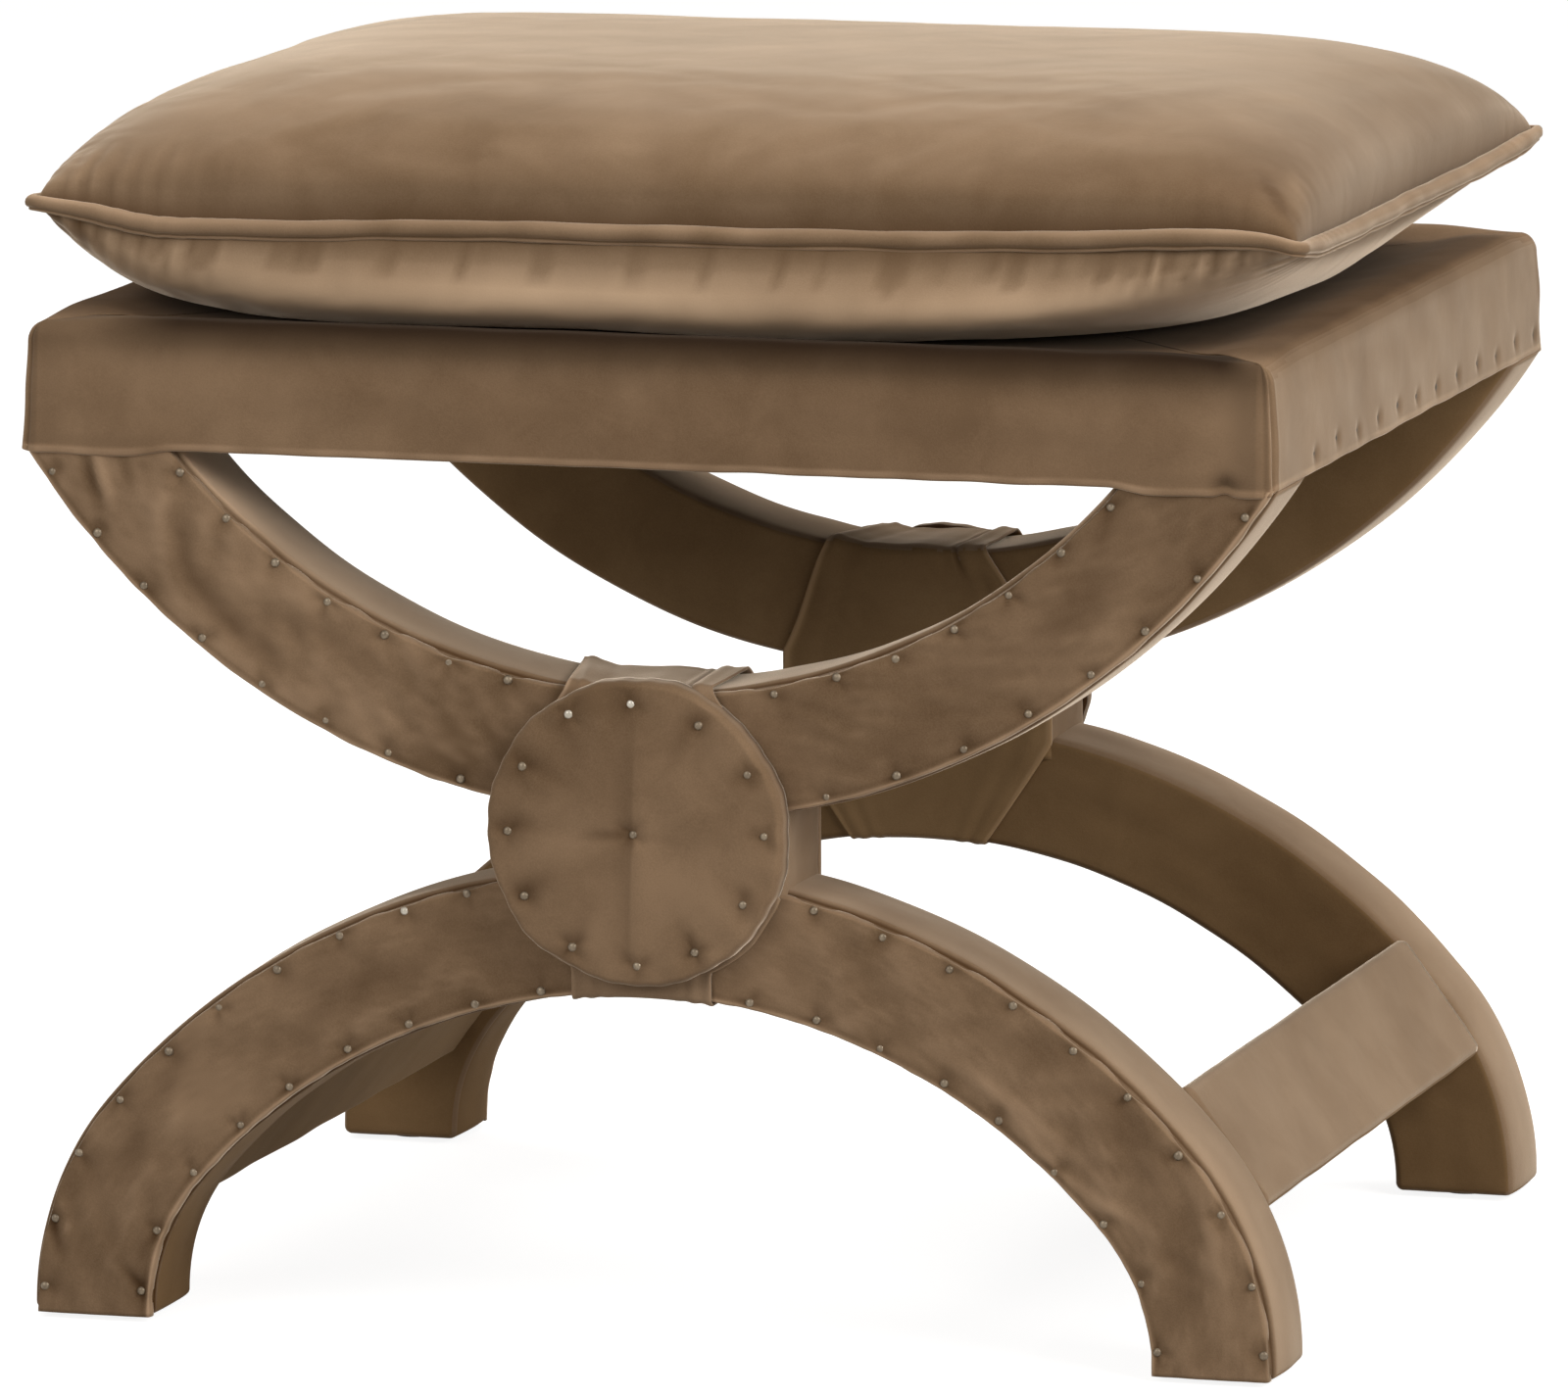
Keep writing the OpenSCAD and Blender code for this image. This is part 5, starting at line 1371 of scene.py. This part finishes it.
def cushion_belly(u, v, x, y, seam, ease_u, ease_v):
    """The underside's points and its painted shading: it hangs from the seam and rests on the deck."""
    puckers = seam_gathers(u, v, x, y, 821)
    pinch, ridge = corner_gathers(x, y, u, v, 825)
    corner = np.where(u > 0, 0.701 * np.abs(u * v) ** 1.426, 0.576 * np.abs(u * v) ** 1.95)
    fore = smooth_step(-v, 0.0, 0.6) * (1 - np.abs(u) ** 8)
    fall = puff(u, v, 9.9, 10.24, 0.5) * (1 - corner) * (1.04 + 0.25 * fore) * (seam - DECK_TOP)
    fall = fall + (0.5 * puckers + 0.9 * ridge - 1.3 * pinch) * MM
    z = np.maximum(BELLY_Z, seam - fall)
    down = np.clip((seam - z) / (seam - BELLY_Z), 0, 1)
    swell = np.sin(math.pi * down ** 0.8)
    belly = eased(down, BELLY_AT, BELLY_OUT)
    out_u = np.where(u > 0, -2.95 * MM, -5.53 * MM) * ease_u * swell
    out_v = np.where(v > 0, 8 * MM * swell, -13.6 * MM * belly) * ease_v
    in_front = smooth_step(-v, 0.2, 0.7)
    left_of_middle = bell(x + 34 * MM, 70 * MM) * in_front
    lean = 16 * MM - 19 * MM * left_of_middle
    fuller = 7 * MM * smooth_step(u, 0.15, 0.5) * (1 - np.abs(u) ** 8) * in_front + 8 * MM * left_of_middle
    full = fuller * np.sin(math.pi * down ** 2.2)
    points = np.stack([x + out_u - 6.25 * MM * down, y + out_v - lean * down - full, z], -1)
    # Painted shade under the piping, in patches hanging from it and in the puckers and pinches; painted light
    # lower down and in places along the front, where the velvet's sheen would show; a painted contact shadow
    # at the deck.
    hang = 0.26 + 0.20 * ripple(x, 0 * y, 831, 26 * MM) + 0.07 * ripple(x, y, 832, 9 * MM)
    patches = (1 - smooth_step(down, hang - 0.05, hang + 0.06)) * smooth_step(hang, 0.1, 0.26)
    along = 0.42 * np.clip(-puckers, 0, 1) - 0.34 * np.clip(puckers, 0, 1)
    along = (0.5 * along + 0.50 * pinch - 0.42 * ridge) * in_front
    along = along - 0.40 * smooth_step(u, 0.40, 0.72) * smooth_step(down, 0.30, 0.65) * in_front
    along = along - 0.34 * smooth_step(u, 0.66, 0.95) * in_front
    along = along - 0.30 * smooth_step(u, 0.90, 0.98) - 0.34 * left_of_middle * smooth_step(down, 0.3, 0.6)
    along = along - 0.20 * in_front * smooth_step(-u, 0.35, 0.6) * smooth_step(down, 0.6, 0.8)
    tones = (0.34 * bell(down, 0.10) + 0.34 * patches + along
             - 0.36 * smooth_step(down, 0.2, 0.75) + 0.5 * smooth_step(down, 0.95, 1.0))
    return points, tones


def cushion_grids():
    """The top and the underside before the simulation: plump, leaning a little to the left and front."""
    u, v = cushion_shares()
    x, y = cushion_plan(u, v)
    seam = SEAM_Z + CORNER_LIFT * np.abs(u * v) ** 4
    seam = seam + eased(u, SEAM_AT, SEAM_OFF) * MM * ((1 - v) / 2) ** 2
    seam = seam - 1.6 * MM * smooth_step(u, 0.7, 1) * (1 - v ** 2)
    ease_u, ease_v = np.abs(u) ** 3 * (1 - np.abs(v) ** 4), np.abs(v) ** 3 * (1 - np.abs(u) ** 4)
    top, over = cushion_crown(u, v, x, y, seam, ease_u, ease_v)
    low, under = cushion_belly(u, v, x, y, seam, ease_u, ease_v)
    return top, low, over, under


def rim_numbers(rows, columns):
    """Grid numbers round the rim, anticlockwise from the front left corner."""
    front = [i * columns for i in range(rows)]
    right = [(rows - 1) * columns + j for j in range(1, columns)]
    back = [i * columns + columns - 1 for i in range(rows - 2, -1, -1)]
    left = [j for j in range(columns - 2, 0, -1)]
    return front + right + back + left


def cushion_mesh(top, low):
    """The two panels sewn along the rim, as one closed mesh."""
    rows, columns = top.shape[:2]
    count = rows * columns
    rim = rim_numbers(rows, columns)
    on_rim = np.zeros(count, bool)
    on_rim[rim] = True
    number = np.where(on_rim, np.arange(count), -1)
    number[~on_rim] = count + np.arange((~on_rim).sum())
    points = np.concatenate([top.reshape(-1, 3), low.reshape(-1, 3)[~on_rim]])
    faces = grid_faces(rows, columns, False, False, 0)
    under = [[int(number[k]) for k in face][::-1] for face in faces]
    return points, faces + under, rim, number


def inflate(obj, pinned):
    """Cloth simulation of the cover under the pressure of its filling; gives where each point went."""
    group = obj.vertex_groups.new(name="seam")
    group.add(pinned, 1.0, "REPLACE")
    cloth = obj.modifiers.new("cloth", "CLOTH")
    settings = cloth.settings
    settings.quality = 6
    settings.mass = 0.25
    settings.tension_stiffness = 20
    settings.compression_stiffness = 14
    settings.shear_stiffness = 6
    settings.bending_stiffness = 0.35
    settings.use_pressure = True
    settings.uniform_pressure_force = 3.0
    settings.shrink_min = -0.014
    settings.shrink_max = -0.014
    settings.vertex_group_mass = "seam"
    settings.effector_weights.gravity = 0
    cloth.collision_settings.use_self_collision = False
    for step in range(1, SIM_STEPS + 1):
        bpy.context.scene.frame_set(step)
    evaluated = obj.evaluated_get(bpy.context.evaluated_depsgraph_get())
    shape = evaluated.to_mesh()
    moved = np.zeros(len(shape.vertices) * 3)
    shape.vertices.foreach_get("co", moved)
    evaluated.to_mesh_clear()
    obj.modifiers.clear()
    obj.vertex_groups.clear()
    bpy.context.scene.frame_set(1)
    return moved.reshape(-1, 3)


def blurred(field, reach, times=3):
    """A grid of steps, averaged with its neighbours along both ways."""
    for _ in range(times):
        for axis in (0, 1):
            padded = np.concatenate([np.repeat(np.take(field, [0], axis), reach, axis), field,
                                     np.repeat(np.take(field, [-1], axis), reach, axis)], axis)
            total = np.cumsum(np.insert(padded, 0, 0, axis), axis)
            width, count = 2 * reach + 1, field.shape[axis]
            upper, lower = (np.take(total, range(k, k + count), axis) for k in (width, 0))
            field = (upper - lower) / width
    return field


def settled(start, moved):
    """Keeps some of the simulation's wrinkles, more of them by the seam, with no point far from its start."""
    step = moved - start
    u, v = cushion_shares()
    inward = np.minimum((1 - np.abs(u)) * CUSHION_HALF_W, (1 - np.abs(v)) * CUSHION_HALF_D)
    share = SIM_SHARE + (SIM_BY_SEAM - SIM_SHARE) * bell(inward, 32 * MM)
    share = share * (1 - 0.6 * smooth_step(u, 0.4, 0.85))
    step = share[..., None] * (step - blurred(step, 6))
    length = np.linalg.norm(step, axis=-1, keepdims=True)
    return start + step * MOST_MOVE * np.tanh(length / MOST_MOVE) / np.maximum(length, 1e-9)


def build_cushion():
    """The cushion's cover, blown up by the simulation, and its piping."""
    top, low, over, under = cushion_grids()
    points, faces, rim, number = cushion_mesh(top, low)
    mesh = new_mesh("cushion_cover", points.tolist(), faces)
    obj = linked("cushion_cover", mesh)
    on_top = slice(0, top.shape[0] * top.shape[1])
    moved = inflate(obj, rim)
    low_points = settled(points[number].reshape(low.shape), moved[number].reshape(low.shape))
    low_points[..., 2] = np.maximum(low_points[..., 2], BELLY_Z)
    top_points = settled(points[on_top].reshape(top.shape), moved[on_top].reshape(top.shape))
    seam_line = points[rim].copy()
    points[number] = low_points.reshape(-1, 3)
    points[on_top] = top_points.reshape(-1, 3)
    points[rim] = seam_line
    mesh.vertices.foreach_set("co", points.reshape(-1))
    mesh.update()
    mesh.polygons.foreach_set("material_index", [0] * (len(faces) // 2) + [1] * (len(faces) // 2))
    mesh.materials.append(VELVET_CUSHION)
    mesh.materials.append(VELVET_UNDER_NAP_AND_SHEEN)
    tones = np.zeros(len(points), np.float32)
    tones[number] = np.clip(under, *BELLY_TONES).reshape(-1)
    tones[on_top] = np.clip(over, *CROWN_TONES).reshape(-1)
    tones[rim] = SEAM_PAINTED_SHADE
    add_painted_shading(mesh, tones)
    finer = obj.modifiers.new("finer", "SUBSURF")
    finer.levels = 1
    finer.render_levels = 1
    declare(obj, "cushion", ["cushion_top", "cushion_bottom", "cushion_insert"])
    build_piping(points[rim])


# Round the piping's section: out and up from the seam in mm, and the painted shading: painted highlights on
# top and on the lower lip, painted shade below.
PIPING_SECTION = np.array([
    (0.0, 3.9, -0.05), (1.4, 4.3, -0.32), (2.9, 4.2, -0.36), (4.4, 3.5, -0.28), (5.6, 2.2, -0.12),
    (6.1, 0.6, -0.08), (5.9, -1.0, -0.05), (4.9, -2.2, 0.10), (3.7, -2.8, 0.34), (3.9, -3.4, -0.1),
    (3.7, -4.1, -0.34), (2.9, -4.6, 0.0), (1.7, -4.7, 0.5), (0.5, -4.3, 0.8), (-0.8, -2.8, 0.8),
    (-1.2, 0, 0.4), (-0.8, 2.5, 0.4)])


def build_piping(rim):
    """The piping round the seam: a cord in a strip of velvet, and the strip's own edge under it."""
    closed = np.concatenate([rim, rim[:1]])
    lengths = np.concatenate([[0], np.cumsum(np.linalg.norm(np.diff(closed, axis=0), axis=1))])
    places = np.linspace(0, lengths[-1], PIPING_STEPS, endpoint=False)
    line = np.stack([np.interp(places, lengths, closed[:, k]) for k in range(3)], -1)
    ahead = np.roll(line, -1, 0) - np.roll(line, 1, 0)
    ahead /= np.linalg.norm(ahead, axis=1)[:, None]
    outward = np.stack([ahead[:, 1], -ahead[:, 0], 0 * ahead[:, 0]], -1)
    outward /= np.linalg.norm(outward, axis=1)[:, None]
    up = np.cross(outward, ahead)
    up *= np.sign(up[:, 2:3])
    at_corner = np.abs(line[:, 0] * line[:, 1]) / (CUSHION_HALF_W * CUSHION_HALF_D)
    thick = 0.97 + 0.04 * ripple(places, 0 * places, 701, 40 * MM)
    thick = thick * (1 - 0.25 * smooth_step(at_corner, 0.86, 0.99))
    lean = 0.12 * ripple(places, 0 * places, 703, 90 * MM)[:, None]
    across, rise = PIPING_SECTION[None, :, 0] * MM, PIPING_SECTION[None, :, 1] * MM
    across, rise = across - lean * rise, rise + lean * across
    round_it = across[..., None] * outward[:, None, :] + rise[..., None] * up[:, None, :]
    grid = line[:, None, :] + thick[:, None, None] * round_it
    painted_shading = PIPING_SECTION[None, :, 2] + 0.06 * ripple(places, 0 * places, 705, 36 * MM)[:, None]
    build("piping", [{"points": grid, "wrap": (True, True), "painted_shading": painted_shading}], VELVET_CUSHION, body="cushion",
          replaces=["cushion_piping"])


# Studio: the camera fitted to the photo, a white floor and three soft lights

CAMERA_AT = (1.67829, -5.51676, 1.17002)
CAMERA_RIGHT = (0.95657, 0.29145, -0.00454)
CAMERA_UP = (-0.04221, 0.15392, 0.98718)
CAMERA_AHEAD = (-0.28842, 0.94412, -0.15954)
LENS_MM = 315.1
SHIFT = (-0.0010, -0.00075)
FLOOR_HALF = 12
LIGHT_AIM = (0, 0, 0.28)


def build_camera():
    """The camera that takes the photo's view."""
    data = bpy.data.cameras.new("camera")
    data.sensor_fit = "HORIZONTAL"
    data.sensor_width = 36
    data.lens = LENS_MM
    data.shift_x, data.shift_y = SHIFT
    data.clip_end = 60
    camera = linked("camera", data)
    columns = [CAMERA_RIGHT, CAMERA_UP, tuple(-v for v in CAMERA_AHEAD), CAMERA_AT]
    camera.matrix_world = Matrix([[columns[c][r] for c in range(4)] for r in range(3)] + [[0, 0, 0, 1]])
    bpy.context.scene.camera = camera


def seen_directly(tree):
    """1 where the camera looks, straight or by a reflection, and 0 for light that falls on the object."""
    path = add(tree, "ShaderNodeLightPath")
    either = math_node(tree, "MAXIMUM", path.outputs["Is Camera Ray"], path.outputs["Is Glossy Ray"])
    return math_node(tree, "MAXIMUM", either, path.outputs["Is Transmission Ray"])


def build_stage():
    """A floor that is grey to the lamps and near white to the camera."""
    corners = [(x * FLOOR_HALF, y * FLOOR_HALF, 0) for x, y in ((-1, -1), (1, -1), (1, 1), (-1, 1))]
    mesh = new_mesh("floor", corners, [(0, 1, 2, 3)])
    floor = linked("floor", mesh)
    material = bpy.data.materials.new("floor_white")
    material.use_nodes = True
    tree = material.node_tree
    tree.nodes.clear()
    matt = add(tree, "ShaderNodeBsdfDiffuse", Color=(0.40, 0.40, 0.40, 1))
    glow = add(tree, "ShaderNodeEmission", Color=(1, 1, 1, 1), Strength=0.88)
    dark = add(tree, "ShaderNodeEmission", Color=(0, 0, 0, 1), Strength=0)
    chosen = add(tree, "ShaderNodeMixShader", Fac=seen_directly(tree), i1=dark.outputs[0], i2=glow.outputs[0])
    both = add(tree, "ShaderNodeAddShader", i0=matt.outputs[0], i1=chosen.outputs[0])
    add(tree, "ShaderNodeOutputMaterial", Surface=both.outputs[0])
    mesh.materials.append(material)


def build_world():
    """White to the camera, and a weak warm light on the object."""
    world = bpy.data.worlds.new("studio")
    bpy.context.scene.world = world
    world.use_nodes = True
    tree = world.node_tree
    tree.nodes.clear()
    light = add(tree, "ShaderNodeBackground", Color=(1.0, 0.93, 0.83, 1), Strength=0.24)
    white = add(tree, "ShaderNodeBackground", Color=(1, 1, 1, 1), Strength=1.0)
    chosen = add(tree, "ShaderNodeMixShader", Fac=seen_directly(tree), i1=light.outputs[0],
                 i2=white.outputs[0])
    add(tree, "ShaderNodeOutputWorld", Surface=chosen.outputs[0])


def area_light(name, place, size, power, colour):
    """A rectangular lamp that looks at the object."""
    data = bpy.data.lights.new(name, "AREA")
    data.shape = "RECTANGLE"
    data.size, data.size_y = size
    data.energy = power
    data.color = colour
    lamp = linked(name, data)
    away = np.array(place, float) - np.array(LIGHT_AIM, float)
    away /= np.linalg.norm(away)
    right = np.cross((0, 0, 1), away)
    right /= np.linalg.norm(right)
    up = np.cross(away, right)
    lamp.matrix_world = Matrix([[right[k], up[k], away[k], place[k]] for k in range(3)] + [[0, 0, 0, 1]])


def build_lights():
    """A key light from the right, a fill from the left and a light from above."""
    area_light("key", (2.8, -1.3, 1.9), (1.8, 1.8), 72, (1.0, 0.975, 0.94))
    area_light("fill", (-1.5, -3.1, 2.1), (2.0, 2.0), 44, (1.0, 0.98, 0.96))
    area_light("top", (0.1, 0.6, 3.0), (2.2, 2.2), 68, (1.0, 0.985, 0.965))


finish_cad_nodes()
build_arches()
build_hubs()
build_stretchers()
build_deck()
build_dust_cover()
build_cushion()
build_camera()
build_stage()
build_world()
build_lights()
bpy.context.scene.view_settings.view_transform = "Standard"

bpy.context.view_layer.update()
